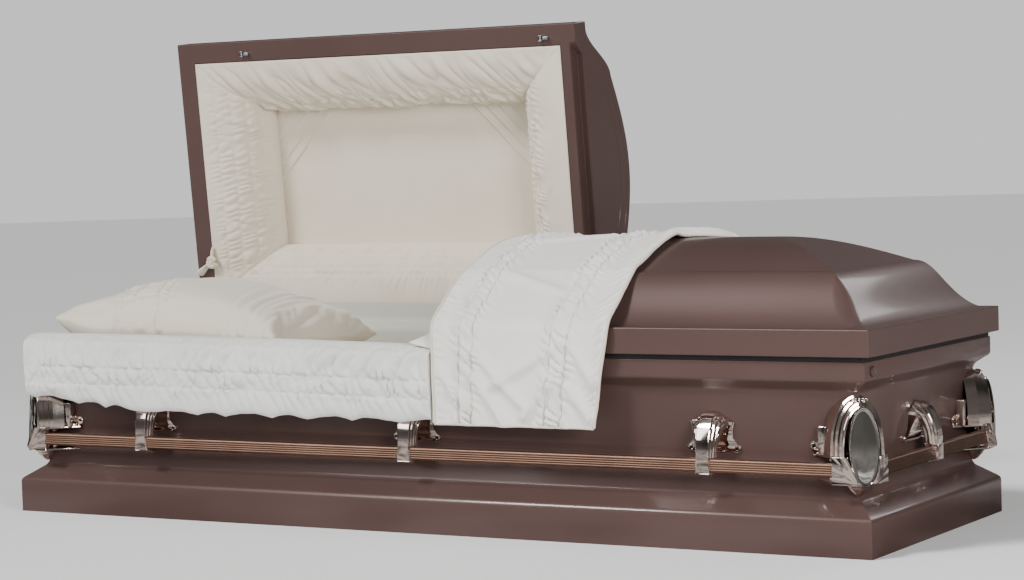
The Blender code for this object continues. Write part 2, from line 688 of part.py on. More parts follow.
def make_bed():
    # A welded angle frame on four legs, and the mattress raised under the head.
    half_l = INNER_HALF_L - BED_END_GAP
    top, rail = BED_TOP_Z, BED_RAIL
    base = block((-half_l, -BED_HALF_WIDTH, top - rail), (half_l, -BED_HALF_WIDTH + rail, top))
    adds = [block((-half_l, BED_HALF_WIDTH - rail, top - rail), (half_l, BED_HALF_WIDTH, top))]
    inner = BED_HALF_WIDTH - rail / 2
    for share in (-1, -0.5, 0, 0.5, 1):
        x = share * (half_l - rail / 2)
        adds.append(block((x - rail / 2, -inner, top - rail + CLEAR), (x + rail / 2, inner, top - CLEAR)))
    floor = SHEET + CLEAR
    for sx in (-1, 1):
        for sy in (-1, 1):
            x, y = sx * (half_l - rail), sy * (BED_HALF_WIDTH - rail / 2)
            reach = rail / 2 - CLEAR
            adds.append(block((x - reach, y - reach, floor), (x + reach, y + reach, top - rail / 2)))
    place("bed_frame", combined("bed_frame", base, adds), "steel", STEEL)

    low = top + CLEAR
    flat = low + MATTRESS_THICK
    raised = flat + MATTRESS_HEAD_RISE
    end = INNER_HALF_L - MATTRESS_END_GAP
    slope_top = -INNER_HALF_L + MATTRESS_HEAD_RUN
    outline = [(-end, low), (end, low), (end, flat), (slope_top + MATTRESS_SLOPE_RUN, flat), (slope_top, raised),
               (-end, raised)]
    bm = extruded([(x, -BED_HALF_WIDTH, z) for x, z in outline], (0, 2 * BED_HALF_WIDTH, 0))
    place("mattress", to_mesh(bm, "mattress"), "cream cloth", CREAM)
    return raised


def make_pillow(bed_z):
    # A plump cushion with drawn-out corners; its underside is flat where it rests.
    columns, rows = 10, 8
    bm = bmesh.new()
    low = bed_z + CLEAR
    middle = low + PILLOW_THICK * PILLOW_SEAM

    def point(i, j, side):
        u, v = 2 * i / columns - 1, 2 * j / rows - 1
        x = PILLOW_X + PILLOW_LENGTH / 2 * u * (1 - PILLOW_PINCH * (1 - v * v))
        y = PILLOW_Y + PILLOW_DEPTH / 2 * v * (1 - PILLOW_PINCH * (1 - u * u))
        crown = ((1 - u * u) * (1 - v * v)) ** PILLOW_FULLNESS
        seam = middle - PILLOW_TILT * (u + v) / 2
        if side > 0:
            return (x, y, seam + crown * (low + PILLOW_THICK - seam))
        return (x, y, seam - crown * (seam - low))

    grids = {}
    for side in (1, -1):
        for i in range(columns + 1):
            for j in range(rows + 1):
                edge = i in (0, columns) or j in (0, rows)
                if edge and side < 0:
                    grids[side, i, j] = grids[1, i, j]
                else:
                    grids[side, i, j] = bm.verts.new(point(i, j, side))
    for side in (1, -1):
        for i in range(columns):
            for j in range(rows):
                corners = (grids[side, i, j], grids[side, i + 1, j], grids[side, i + 1, j + 1], grids[side, i, j + 1])
                bm.faces.new(corners)
    place("pillow", to_mesh(faces_out(bm), "pillow"), "cream cloth", CREAM)


def make_hinge_cover():
    # The cloth that hides the hinge side: down the open rim, over the flange, into the body.
    half = COVER_THICK / 2
    lining_face = INNER_HALF_W
    flange_y = HALF_W - FLANGE_INSET
    over_z = RIM_Z + half + 2 * CLEAR
    route = [(HALF_W - half - CLEAR, COVER_TOP_Z), (HALF_W - half, over_z + 3 * half), (HALF_W - 3 * half, over_z),
             (flange_y, over_z), (lining_face - half, over_z - 3 * half), (lining_face - 2 * half, COVER_DROP_Z)]
    outline = offset_route(route, half) + list(reversed(offset_route(route, -half)))
    x0 = -LID_HALF_L + RIM_FACE + COVER_THICK
    x1 = HEAD_CUT_X - CUT_RIM_FACE - COVER_THICK
    start = max(x0, -INNER_HALF_L + COVER_THICK)
    bm = extruded([(start, y, z) for y, z in outline], (x1 - start, 0, 0))
    place("hinge_cover", to_mesh(bm, "hinge_cover"), "grey green cloth", GREY_GREEN)


def make_extendover():
    # The puffed flap over the front rim: inside the body, over the flange and down the outside.
    x0, x1 = -HALF_L + EXTENDOVER_HEAD_GAP, HEAD_CUT_X - EXTENDOVER_CUT_GAP
    inside_x = -INNER_HALF_L + COVER_THICK
    lining_y = -INNER_HALF_W + 2 * CLEAR
    band_y = -(HALF_W - BAND_INSET) - 2 * CLEAR
    out_y = -HALF_W - EXTENDOVER_OUT
    over_z = RIM_Z + 2 * CLEAR
    quarter = EXTENDOVER_THICK / 4
    edge = EXTENDOVER_EDGE

    def section(x, tucked):
        # The hem falls over the first third of the length, from the head end.
        t = min(1.0, 3 * (x - x0) / (x1 - x0))
        hem = EXTENDOVER_DROP[0] + (EXTENDOVER_DROP[1] - EXTENDOVER_DROP[0]) * t
        tuck_z = over_z - (EXTENDOVER_TUCK if tucked else CLEAR)
        outer = [(lining_y + 2 * quarter, tuck_z), (lining_y + 2.5 * quarter, over_z + CLEAR),
                 (lining_y - quarter, EXTENDOVER_TOP_Z - edge), (-HALF_W + FLANGE_INSET / 2, EXTENDOVER_TOP_Z),
                 (band_y - 2 * quarter, EXTENDOVER_TOP_Z - edge / 2), (out_y + quarter, RIM_Z + edge),
                 (out_y, BAND_BOTTOM_Z + EXTENDOVER_BELLY), (out_y + quarter / 2, (BAND_BOTTOM_Z + hem) / 2),
                 (out_y + quarter, hem + EXTENDOVER_HEM)]
        inner = [(band_y - 2.5 * quarter, hem), (band_y - 1.5 * quarter, hem + 2 * EXTENDOVER_HEM),
                 (band_y, BAND_BOTTOM_Z), (band_y, over_z), (lining_y, over_z), (lining_y, tuck_z)]
        return [(x, y, z) for y, z in outer + inner]

    stations = [section(x0, False), section(inside_x - CLEAR, False)]
    for i in range(EXTENDOVER_STEPS + 1):
        stations.append(section(inside_x + (x1 - inside_x) * i / EXTENDOVER_STEPS, True))
    place("extendover", to_mesh(lofted(stations), "extendover"), "white cloth", WHITE)


def bar_outline():
    # (out, z) of a bar: rounded box with flutes along its outer face; out is 0 at the base edge.
    half = BAR_HEIGHT / 2
    points = [(-BAR_DEPTH, BAR_Z - half), (-BAR_CORNER, BAR_Z - half)]
    flat = half - BAR_CORNER
    pitch = 2 * flat / BAR_FLUTES
    points.append((0.0, BAR_Z - flat))
    for i in range(BAR_FLUTES):
        middle = BAR_Z - flat + pitch * (i + 0.5)
        points += [(-FLUTE_DEPTH, middle - pitch * 0.12), (-FLUTE_DEPTH, middle + pitch * 0.12)]
        if i < BAR_FLUTES - 1:
            points.append((0.0, middle + pitch / 2))
    points += [(0.0, BAR_Z + flat), (-BAR_CORNER, BAR_Z + half), (-BAR_DEPTH, BAR_Z + half)]
    return points


def make_bars():
    end = SOCKET_REACH - SOCKET_DEPTH + BAR_CLEAR
    for name, half_run, half_out, turn in (("front", HALF_L, HALF_W, math.pi), ("back", HALF_L, HALF_W, 0.0),
                                           ("foot", HALF_W, HALF_L, -math.pi / 2), ("head", HALF_W, HALF_L, math.pi / 2)):
        run = half_run - end
        outline = [(-run, out, z) for out, z in bar_outline()]
        mesh = to_mesh(extruded(outline, (2 * run, 0, 0)), "bar")
        matrix = Matrix.Rotation(turn, 4, "Z") @ Matrix.Translation((0, half_out, 0))
        place(f"bar_{name}", mesh, "copper brown", BRONZE, matrix)


def arm_plate():
    # The plate on the shell, with its two ears and their screw holes.
    hole, ear, wide = EAR_HOLE_SPACING / 2, EAR_RADIUS, ARM_TOP_HALF_WIDTH
    half_outline = [(wide * (1 - ARM_TOP_CUT), ARM_TOP_Z + CLASP_WALL / 2), (wide, ARM_TOP_Z - ARM_TOP_DROP),
                    (hole + ear / 2, EAR_HOLE_Z + ear), (hole + ear, EAR_HOLE_Z),
                    (hole + ear / 2, EAR_HOLE_Z - ear), (hole - ear, WAIST_Z + ARM_RISE)]
    outline = half_outline + [(-x, z) for x, z in reversed(half_outline)]
    plate = extruded([(x, shell_face(z), z) for x, z in outline], (0, ARM_PLATE_THICK, 0))
    holes = [cylinder((side * hole, shell_face(EAR_HOLE_Z), EAR_HOLE_Z), (0, 1, 0), EAR_HOLE_RADIUS, 2 * CUT_PAST, 8)
             for side in (-1, 1)]
    return plate, holes


def shell_face(z):
    return CLEAR - body_inset(z)


def arm_hood():
    # The arch from the plate to the clasp: a raised middle with two ribs that converge downward.
    start_out = shell_face(ARM_TOP_Z + 2 * HOOD_STEP) + CLEAR
    end_out = CLASP_WALL - HOOD_WALL / 2
    end_z = BAR_Z + BAR_HEIGHT / 2
    sections = []
    for i in range(HOOD_STEPS + 1):
        t = i / HOOD_STEPS
        turn = math.pi / 2 * t
        out = start_out + (end_out - start_out) * math.sin(turn)
        z = end_z + (ARM_TOP_Z - end_z) * math.cos(turn)
        normal = Vector((math.sin(turn) * (ARM_TOP_Z - end_z), math.cos(turn) * (end_out - start_out))).normalized()
        width = ARM_TOP_HALF_WIDTH + (CLASP_HALF_WIDTH - ARM_TOP_HALF_WIDTH) * t
        centre = CLASP_HALF_WIDTH * (HOOD_CENTRE - 0.1 * t)
        shoulder = (width + centre) / 2
        step = HOOD_STEP + (HOOD_STEP_END - HOOD_STEP) * t
        rib = [(width, -HOOD_WALL), (width, 0), (shoulder, 0), (shoulder, step), (centre, step), (centre, 2 * step)]
        rib += [(-x, rise) for x, rise in reversed(rib)]
        sections.append([(x, out + rise * normal.x, z + rise * normal.y) for x, rise in rib])
    return lofted(sections)


def arm_mesh():
    # Origin at the base edge, Y outward. Plate on the shell, arch, clasp around the bar and foot tab.
    plate, holes = arm_plate()
    wall, half_h, gap = CLASP_WALL, BAR_HEIGHT / 2, BAR_CLEAR
    wide = CLASP_HALF_WIDTH
    sleeve = block((-wide, -BAR_DEPTH - wall, BAR_Z - half_h - wall), (wide, wall, BAR_Z + half_h + wall))
    bar = block((-2 * wide, -BAR_DEPTH - gap, BAR_Z - half_h - gap), (2 * wide, gap, BAR_Z + half_h + gap))
    tab_z = BAR_Z - half_h - wall
    tab = block((-TAB_HALF_WIDTH, shell_face(tab_z) + CLEAR, tab_z), (TAB_HALF_WIDTH, -BAR_DEPTH, tab_z + TAB_THICK))
    return combined("arm", plate, [arm_hood(), sleeve, tab], [*holes, bar])


def make_arms():
    mesh = arm_mesh()
    places = [(f"arm_front_{i}", math.pi, HALF_W, -x) for i, x in enumerate(ARM_X, 1)]
    places += [(f"arm_back_{i}", 0.0, HALF_W, x) for i, x in enumerate(ARM_X, 1)]
    places += [("arm_foot", -math.pi / 2, HALF_L, 0.0), ("arm_head", math.pi / 2, HALF_L, 0.0)]
    for name, turn, out, along in places:
        matrix = Matrix.Rotation(turn, 4, "Z") @ Matrix.Translation((along, out, 0))
        place(name, mesh, "nickel", CHROME, matrix)


def diagonal(lateral, inset, z):
    # A point by the corner: lateral along the 45 degree face, inset back along both sides.
    return (-inset + lateral / math.sqrt(2), inset + lateral / math.sqrt(2), z)


def half_oval(half_width, top_z, inset, wall=0.0):
    # The arch outline above the socket, in the plane across the corner.
    low = SOCKET_TOP_Z - SHELF_THICK / 2
    points = []
    for i in range(RING_SIDES + 1):
        turn = math.pi * i / RING_SIDES
        rise = (top_z - low - wall) * math.sin(turn) ** ARCH_POWER
        points.append(diagonal((half_width - wall) * math.cos(turn), inset, low + rise))
    return points


def casting_arches():
    # Stepped arches over the medallion, the pocket inside them and the rosette on top.
    rear = WAIST_INSET + CASTING_BACK
    arches = []
    for half_width, top_z, inset in HOOD_RINGS:
        back = rear - inset
        arches.append(extruded(half_oval(half_width, top_z, inset), (-back, back, 0)))
    half_width, top_z, front = HOOD_RINGS[-1]
    pocket = extruded(half_oval(half_width, top_z, front - POCKET_LEAD, HOOD_RING_WALL), (-rear, rear, 0))
    inset = (HOOD_RINGS[0][2] + HOOD_RINGS[1][2]) / 2
    arches.append(ellipsoid(diagonal(0, inset, HOOD_RINGS[1][1]), (ROSETTE_RADIUS, ROSETTE_RADIUS, ROSETTE_HALF_HEIGHT),
                            8, 6))
    return arches, pocket


def casting_sockets():
    # The socket box turns the corner behind the medallion, with a flat across the corner.
    wall, reach = SOCKET_WALL, SOCKET_REACH
    depth, start = BAR_DEPTH + wall, reach - SOCKET_DEPTH
    flat = 2 * (MEDALLION_INSET + MEDALLION_THICK / math.sqrt(2) + CLEAR) + wall
    outline = [(-flat, -wall), (-reach, -wall), (-reach, depth), (-start, depth), (-depth, start), (-depth, reach),
               (wall, reach), (wall, flat)]
    box = extruded([(x, y, SOCKET_BOTTOM_Z) for x, y in outline], (0, 0, SOCKET_TOP_Z - SOCKET_BOTTOM_Z))
    low, high = BAR_Z - BAR_HEIGHT / 2 - BAR_CLEAR, BAR_Z + BAR_HEIGHT / 2 + BAR_CLEAR
    inner = BAR_DEPTH + BAR_CLEAR
    bores = [block((-reach - CUT_PAST, -BAR_CLEAR, low), (-start, inner, high)),
             block((-inner, start, low), (BAR_CLEAR, reach + CUT_PAST, high))]

    # Shelves over and under the bars, back to the shell
    far = CORNER_EAR_REACH + EAR_RADIUS
    thick, back = SHELF_THICK, WAIST_INSET
    shelf = [(-reach + thick, 0), (-far + thick, back), (-back, back), (-back, far - thick), (0, reach - thick),
             (0, start), (-start, 0)]
    shelves = [extruded([(x, y, z) for x, y in shelf], (0, 0, thick)) for z in (SOCKET_TOP_Z - thick, SOCKET_BOTTOM_Z)]
    return box, bores, shelves


def casting_ears():
    # A flat ear with its hole and screw boss on each side of the corner.
    low_z, high_z = SOCKET_TOP_Z - SHELF_THICK, CORNER_EAR_Z + EAR_RADIUS
    low_y, high_y = body_inset(low_z) - CLEAR, body_inset(high_z) - CLEAR
    near, far = WAIST_INSET - CORNER_EAR_THICK, CORNER_EAR_REACH + EAR_RADIUS
    plate = [(-far, low_y, low_z), (-near, low_y, low_z), (-near, high_y, high_z), (-far, high_y, high_z)]
    wide, deep, tall = BOSS_SIZE
    boss_x = -CORNER_EAR_REACH + EAR_RADIUS
    boss = ((boss_x, high_y - deep, high_z - CORNER_EAR_THICK), (boss_x + wide, high_y - CLEAR, high_z + tall))
    adds, holes = [], []
    for flip in (False, True):
        def turned(p):
            return (-p[1], -p[0], p[2]) if flip else p

        adds.append(extruded([turned(p) for p in plate], turned((0, -CORNER_EAR_THICK, 0))))
        ends = [turned(p) for p in boss]
        adds.append(block([min(pair) for pair in zip(*ends)], [max(pair) for pair in zip(*ends)]))
        holes.append(cylinder(turned((-CORNER_EAR_REACH, low_y, CORNER_EAR_Z)), turned((0, -1, 0)), EAR_HOLE_RADIUS,
                              2 * CUT_PAST, 8))
    return adds, holes


def casting_drop():
    bm = bmesh.new()
    high = SOCKET_BOTTOM_Z + DROP_OVERLAP
    middle = diagonal(0, DROP_INSET, (high + DROP_BOTTOM_Z) / 2)
    bmesh.ops.create_cone(bm, cap_ends=True, segments=DROP_SIDES, radius1=DROP_RADIUS * DROP_TIP, radius2=DROP_RADIUS,
                          depth=high - DROP_BOTTOM_Z, matrix=Matrix.Translation(middle))
    return bm


def casting_mesh():
    # Origin at the base corner; the two sides run along -X and +Y.
    arches, pocket = casting_arches()
    box, bores, shelves = casting_sockets()
    ears, holes = casting_ears()

    # Everything behind the shell's faces is cut away
    shell = [(BASE_SLOPE_INSET, 0.0), *BODY_PROFILE[2:]]
    behind = []
    for s, z in shell:
        inset = s - CLEAR
        behind.append([(-HALF_W, inset, z), (-inset, inset, z), (-inset, HALF_W, z), (-HALF_W, HALF_W, z)])
    return combined("casting", box, [*arches, *shelves, *ears, casting_drop()], [pocket, *bores, *holes, lofted(behind)])


def medallion_mesh():
    # An upright oval plate with a raised rim and a shallow dome inside it.
    half_w, half_h = MEDALLION_WIDTH / 2, MEDALLION_HEIGHT / 2
    inset = MEDALLION_INSET
    rim = MEDALLION_RIM
    thick = MEDALLION_THICK / math.sqrt(2)
    rings = ((1.5 * rim, inset + thick), (0, inset + thick * 0.6), (0, inset + thick * 0.2), (rim * 0.4, inset),
             (rim, inset), (rim * 1.6, inset + thick * 0.25))
    bm = bmesh.new()
    rows = []
    for cut, back in rings:
        row = []
        for i in range(MEDALLION_SIDES):
            turn = 2 * math.pi * i / MEDALLION_SIDES
            row.append(bm.verts.new(diagonal((half_w - cut) * math.cos(turn), back,
                                             MEDALLION_Z + (half_h - cut) * math.sin(turn))))
        rows.append(row)
    for a, b in zip(rows, rows[1:]):
        for i in range(MEDALLION_SIDES):
            j = (i + 1) % MEDALLION_SIDES
            bm.faces.new((a[i], a[j], b[j], b[i]))
    bm.faces.new(list(reversed(rows[0])))
    peak = bm.verts.new(diagonal(0, inset + thick * 0.1, MEDALLION_Z))
    for i in range(MEDALLION_SIDES):
        bm.faces.new((rows[-1][i], rows[-1][(i + 1) % MEDALLION_SIDES], peak))
    return to_mesh(faces_out(bm), "medallion")


def make_corners():
    casting, medallion = casting_mesh(), medallion_mesh()
    corners = (("front_foot", 1, -1, 0), ("back_foot", 1, 1, 90), ("back_head", -1, 1, 180), ("front_head", -1, -1, 270))
    for name, sx, sy, turn in corners:
        matrix = Matrix.Translation((sx * HALF_L, sy * HALF_W, 0)) @ Matrix.Rotation(math.radians(turn), 4, "Z")
        place(f"corner_{name}", casting, "nickel", CHROME, matrix)
        place(f"medallion_{name}", medallion, "mirror nickel", CHROME, matrix)


def make_plug():
    face = HALF_L - BAND_INSET + CLEAR
    centre = (face + PLUG_THICK / 2, PLUG_INSET - HALF_W, PLUG_Z)
    head = cylinder(centre, (1, 0, 0), PLUG_RADIUS, PLUG_THICK, PLUG_SIDES)
    place("end_plug", to_mesh(head, "end_plug"), "plum paint", PAINT)


def main():
    for obj in list(bpy.data.objects):
        bpy.data.objects.remove(obj)
    make_body()
    make_gasket()
    make_body_lining()
    bed_z = make_bed()
    make_pillow(bed_z)
    make_hinge_cover()
    make_extendover()
    make_lids()
    make_bars()
    make_arms()
    make_corners()
    make_plug()
    bpy.context.view_layer.update()


main()
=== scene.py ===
import math

import bmesh
import bpy
from mathutils import Matrix, Vector, noise


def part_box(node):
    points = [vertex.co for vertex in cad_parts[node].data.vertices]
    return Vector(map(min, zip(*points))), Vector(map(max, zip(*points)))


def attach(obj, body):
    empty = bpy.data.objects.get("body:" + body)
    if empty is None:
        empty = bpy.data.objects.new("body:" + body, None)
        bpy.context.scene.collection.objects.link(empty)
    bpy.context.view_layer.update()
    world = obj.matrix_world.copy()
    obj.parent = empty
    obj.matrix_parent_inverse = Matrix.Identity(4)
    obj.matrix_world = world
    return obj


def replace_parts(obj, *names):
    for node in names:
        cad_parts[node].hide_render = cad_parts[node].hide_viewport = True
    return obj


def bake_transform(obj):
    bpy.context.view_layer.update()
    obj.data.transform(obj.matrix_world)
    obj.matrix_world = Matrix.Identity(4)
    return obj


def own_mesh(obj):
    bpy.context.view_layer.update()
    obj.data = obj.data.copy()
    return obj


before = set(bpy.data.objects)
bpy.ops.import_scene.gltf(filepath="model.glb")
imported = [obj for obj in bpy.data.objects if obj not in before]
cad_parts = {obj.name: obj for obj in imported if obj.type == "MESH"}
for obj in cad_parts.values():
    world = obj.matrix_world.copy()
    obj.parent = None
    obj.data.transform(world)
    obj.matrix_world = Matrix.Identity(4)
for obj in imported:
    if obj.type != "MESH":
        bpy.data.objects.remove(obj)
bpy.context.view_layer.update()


# Small helpers

def lerp(a, b, t):
    return a + (b - a) * t


def smooth(t):  # 0 to 1 with flat ends
    t = max(0.0, min(1.0, t))
    return t * t * (3 - 2 * t)


def bump(t, middle, half):  # a soft hill around middle
    return smooth(1 - abs(t - middle) / half)


def wave(x, y, seed=0.0):  # soft noise, -1 to 1
    return noise.noise(Vector((x, y, seed)))


def gather(x, y, seed=0.0):  # rounded puffs with sharp valleys, -1 to 1
    return 2.4 * abs(noise.noise(Vector((x, y, seed)))) - 0.6


def shirred(s, t, rows, period, seed=0.0, slant=0.0, reach=0.02, floor=0.0):
    # Cloth gathered on rows of stitches, 0 to 1. s runs along the rows and t across them, in metres.
    number = sum(t > row for row in rows)
    if number == 0:
        hill = math.exp(-((rows[0] - t) / reach) ** 2) if t < rows[0] else 1
    elif number == len(rows):
        hill = math.exp(-((t - rows[-1]) / reach) ** 2)
    else:
        low, high = rows[number - 1], rows[number]
        hill = math.sin(math.pi * max(0.0, min(1.0, (t - low) / (high - low)))) ** 0.5
    near = min(abs(t - row) for row in rows)
    hill *= lerp(floor, 1.0, smooth(near / 0.005))
    phase = (s + slant * t) / period + 1.5 * wave(s / (2.6 * period), number * 3.7 * (1 - floor), seed)
    ridge = abs(math.cos(math.pi * phase + 0.6 * wave(s / period, t / 0.02, seed + 9)))
    return hill * ridge * max(0.15, 0.75 + 0.9 * wave(s / (2.1 * period), t / 0.03, seed + 5))


def ripple(s, t, angle, across, along, seed=0.0):  # puffs drawn out in one direction, angle from s towards t
    c, d = math.cos(angle), math.sin(angle)
    return gather((s * d - t * c) / across, (s * c + t * d) / along, seed)


def dashes(s, t, angle, period, length, seed=0.0):  # short parallel puffs, 0 to 1
    c, d = math.cos(angle), math.sin(angle)
    across, down = s * d - t * c, s * c + t * d
    phase = across / period + 1.3 * wave(across / (3 * period), down / length, seed)
    strength = 0.55 + 1.5 * wave(across / (1.3 * period), down / length, seed + 3)
    return abs(math.cos(math.pi * phase)) * smooth(strength)


def fold(s, t, start, end, width):  # one soft ridge from start to end
    run = (end[0] - start[0], end[1] - start[1])
    share = ((s - start[0]) * run[0] + (t - start[1]) * run[1]) / (run[0] ** 2 + run[1] ** 2)
    share = max(0.0, min(1.0, share))
    away = math.hypot(s - start[0] - share * run[0], t - start[1] - share * run[1])
    return math.exp(-(away / width) ** 2)


def newVerts(result):
    return [g for g in result["geom"] if isinstance(g, bmesh.types.BMVert)]


def newEdges(result):  # the far edges of an edge extrusion
    verts = set(newVerts(result))
    return [g for g in result["geom"] if isinstance(g, bmesh.types.BMEdge) and set(g.verts) <= verts]


def openEdges(bm):
    return [e for e in bm.edges if e.is_boundary]


def sharpEdges(bm, degrees):
    limit = math.radians(degrees)
    return [e for e in bm.edges if len(e.link_faces) == 2 and e.calc_face_angle(0) > limit]


def bevelEdges(bm, edges, offset, segments=2):
    bmesh.ops.bevel(bm, geom=edges, offset=offset, segments=segments, profile=0.5, affect="EDGES",
                    material=-1, clamp_overlap=True)


def softened(bm, degrees, offset, segments=2):  # bevels every edge sharper than that
    bevelEdges(bm, sharpEdges(bm, degrees), offset, segments)
    return bm


def outward(bm):
    bmesh.ops.recalc_face_normals(bm, faces=bm.faces)
    return bm


def turned(bm, matrix):
    bmesh.ops.transform(bm, matrix=matrix, verts=bm.verts)
    return bm


def copied(mesh):  # a bmesh to work on
    bm = bmesh.new()
    bm.from_mesh(mesh)
    return bm


def stored(bm, mesh):  # puts a bmesh into a mesh and lets it go
    bm.to_mesh(mesh)
    bm.free()
    return mesh


def toObject(name, bm, smoothAngle=35, fix=True):
    if fix:
        bmesh.ops.remove_doubles(bm, verts=bm.verts, dist=1e-6)
        outward(bm)
    mesh = stored(bm, bpy.data.meshes.new(name))
    mesh.shade_smooth()
    mesh.set_sharp_from_angle(angle=math.radians(smoothAngle))
    piece = bpy.data.objects.new(name, mesh)
    bpy.context.scene.collection.objects.link(piece)
    return piece


def finished(piece, material, body, slot, *nodes):
    piece.data.materials.clear()
    piece.data.materials.append(material)
    if body:
        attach(piece, body)
    if nodes:
        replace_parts(piece, *nodes)
    return piece


def baked(piece, smoothAngle=35):  # the modifiers applied
    bpy.context.view_layer.update()
    graph = bpy.context.evaluated_depsgraph_get()
    mesh = bpy.data.meshes.new_from_object(piece.evaluated_get(graph))
    piece.modifiers.clear()
    piece.data = mesh
    mesh.set_sharp_from_angle(angle=math.radians(smoothAngle))
    return piece


def cutBy(piece, cutter):  # takes the cutter's shape out of the piece
    tool = toObject("cutter", cutter)
    cut = piece.modifiers.new("cut", "BOOLEAN")
    cut.operation = "DIFFERENCE"
    cut.solver = "EXACT"
    cut.object = tool
    baked(piece)
    bpy.data.objects.remove(tool)
    return piece


def walled(piece, thickness, even=True):  # even keeps corners as thick, but spikes in puckered cloth
    wall = piece.modifiers.new("wall", "SOLIDIFY")
    wall.thickness = thickness
    wall.offset = -1.0
    wall.use_even_offset = even
    return piece


def box(low, high):
    bm = bmesh.new()
    size = [b - a for a, b in zip(low, high)]
    middle = [(a + b) / 2 for a, b in zip(low, high)]
    bmesh.ops.create_cube(bm, size=1, matrix=Matrix.Translation(middle) @ Matrix.Diagonal((*size, 1)))
    return bm


def addTo(bm, other):  # joins another bmesh into this one
    mesh = stored(other, bpy.data.meshes.new("part"))
    bm.from_mesh(mesh)
    bpy.data.meshes.remove(mesh)


def rod(start, end, radius, sides=16, tip=None):  # tip is the radius at the end, where it differs
    bm = bmesh.new()
    run = Vector(end) - Vector(start)
    turn = Vector((0, 0, 1)).rotation_difference(run).to_matrix().to_4x4()
    place = Matrix.Translation((Vector(start) + Vector(end)) / 2) @ turn
    far = radius if tip is None else tip
    bmesh.ops.create_cone(bm, cap_ends=True, segments=sides, radius1=radius, radius2=far, depth=run.length,
                          matrix=place)
    return bm


def fullSpin(bm, geom, centre, steps):
    bmesh.ops.spin(bm, geom=geom, cent=centre, axis=(0, 0, 1), angle=2 * math.pi, steps=steps, use_merge=True)


def arc(x, z, radius, start, sweep, steps):  # points of an arc, its angles in degrees
    turns = [math.radians(start + sweep * i / steps) for i in range(steps + 1)]
    return [(x + radius * math.cos(a), z + radius * math.sin(a)) for a in turns]


def bead(centre, radius, squeeze=(1, 1, 1)):
    bm = bmesh.new()
    bmesh.ops.create_icosphere(bm, subdivisions=2, radius=radius,
                               matrix=Matrix.Translation(centre) @ Matrix.Diagonal((*squeeze, 1)))
    return bm


def chain(bm, points, closed=False):  # a wire to extrude from
    verts = [bm.verts.new(p) for p in points]
    edges = [bm.edges.new(pair) for pair in zip(verts, verts[1:])]
    if closed:
        edges.append(bm.edges.new((verts[-1], verts[0])))
    return verts, edges


def swept(rows, closed=False, capped=True):  # extrudes a section through a list of equal sections
    bm = bmesh.new()
    verts, edges = chain(bm, rows[0], closed)
    first = list(edges)
    for row in rows[1:]:
        made = bmesh.ops.extrude_edge_only(bm, edges=edges)
        near = {v: i for i, v in enumerate(verts)}
        pairs = {}
        for v in newVerts(made):
            for e in v.link_edges:
                other = e.other_vert(v)
                if other in near:
                    pairs[near[other]] = v
        verts = [pairs[i] for i in range(len(row))]
        for v, p in zip(verts, row):
            v.co = p
        edges = newEdges(made)
    if capped and closed:
        bmesh.ops.contextual_create(bm, geom=first)
        bmesh.ops.contextual_create(bm, geom=edges)
    return bm


def tube(points, radii, sides=10, squeeze=1.0):  # a round or flattened cord through the points
    rows = []
    for i, (point, radius) in enumerate(zip(points, radii)):
        run = (Vector(points[min(i + 1, len(points) - 1)]) - Vector(points[max(i - 1, 0)])).normalized()
        side = run.cross(Vector((0.31, -0.87, 0.39))).normalized()
        up = side.cross(run)
        turns = [2 * math.pi * n / sides for n in range(sides)]
        rows.append([Vector(point) + (side * math.cos(a) + up * (squeeze * math.sin(a))) * radius
                     for a in turns])
    return outward(swept(rows, closed=True))


def rounded(points, radius, steps=6):  # an open route with its corners turned into curves
    route = [tuple(points[0])]
    for a, b, c in zip(points, points[1:], points[2:]):
        a, b, c = Vector(a), Vector(b), Vector(c)
        cut = min(radius, 0.48 * (b - a).length, 0.48 * (c - b).length)
        p, q = b + (a - b).normalized() * cut, b + (c - b).normalized() * cut
        route += [tuple(p.lerp(b, i / steps).lerp(b.lerp(q, i / steps), i / steps)) for i in range(steps + 1)]
    return route + [tuple(points[-1])]


def routeLength(route):
    return sum(math.dist(a, b) for a, b in zip(route, route[1:]))


def along(route, share):  # a point and the run of a route at a share of its length
    target = share * routeLength(route)
    for a, b in zip(route, route[1:]):
        step = math.dist(a, b)
        if target <= step or b is route[-1]:
            t = target / max(step, 1e-9)
            return Vector([lerp(p, q, t) for p, q in zip(a, b)]), (Vector(b) - Vector(a)).normalized()
        target -= step


def clothGrid(columns, rows, place, size):
    # A grid whose points go where place(u, v) says, with UVs in metres.
    bm = bmesh.new()
    uv = bm.loops.layers.uv.new("cloth")
    bmesh.ops.create_grid(bm, x_segments=columns, y_segments=rows, size=0.5, calc_uvs=True)
    for vert in bm.verts:
        vert.co = place(vert.co.x + 0.5, vert.co.y + 0.5)
    for face in bm.faces:
        for loop in face.loops:
            loop[uv].uv = (loop[uv].uv.x * size[0], loop[uv].uv.y * size[1])
    return bm


# Camera, light, floor

view = {
    "place": (3.0143, -4.9657, 0.8022),
    "azimuth": 0.5357,
    "elevation": 0.0538,
    "roll": -0.0293,
    "lens": 92.55,
}


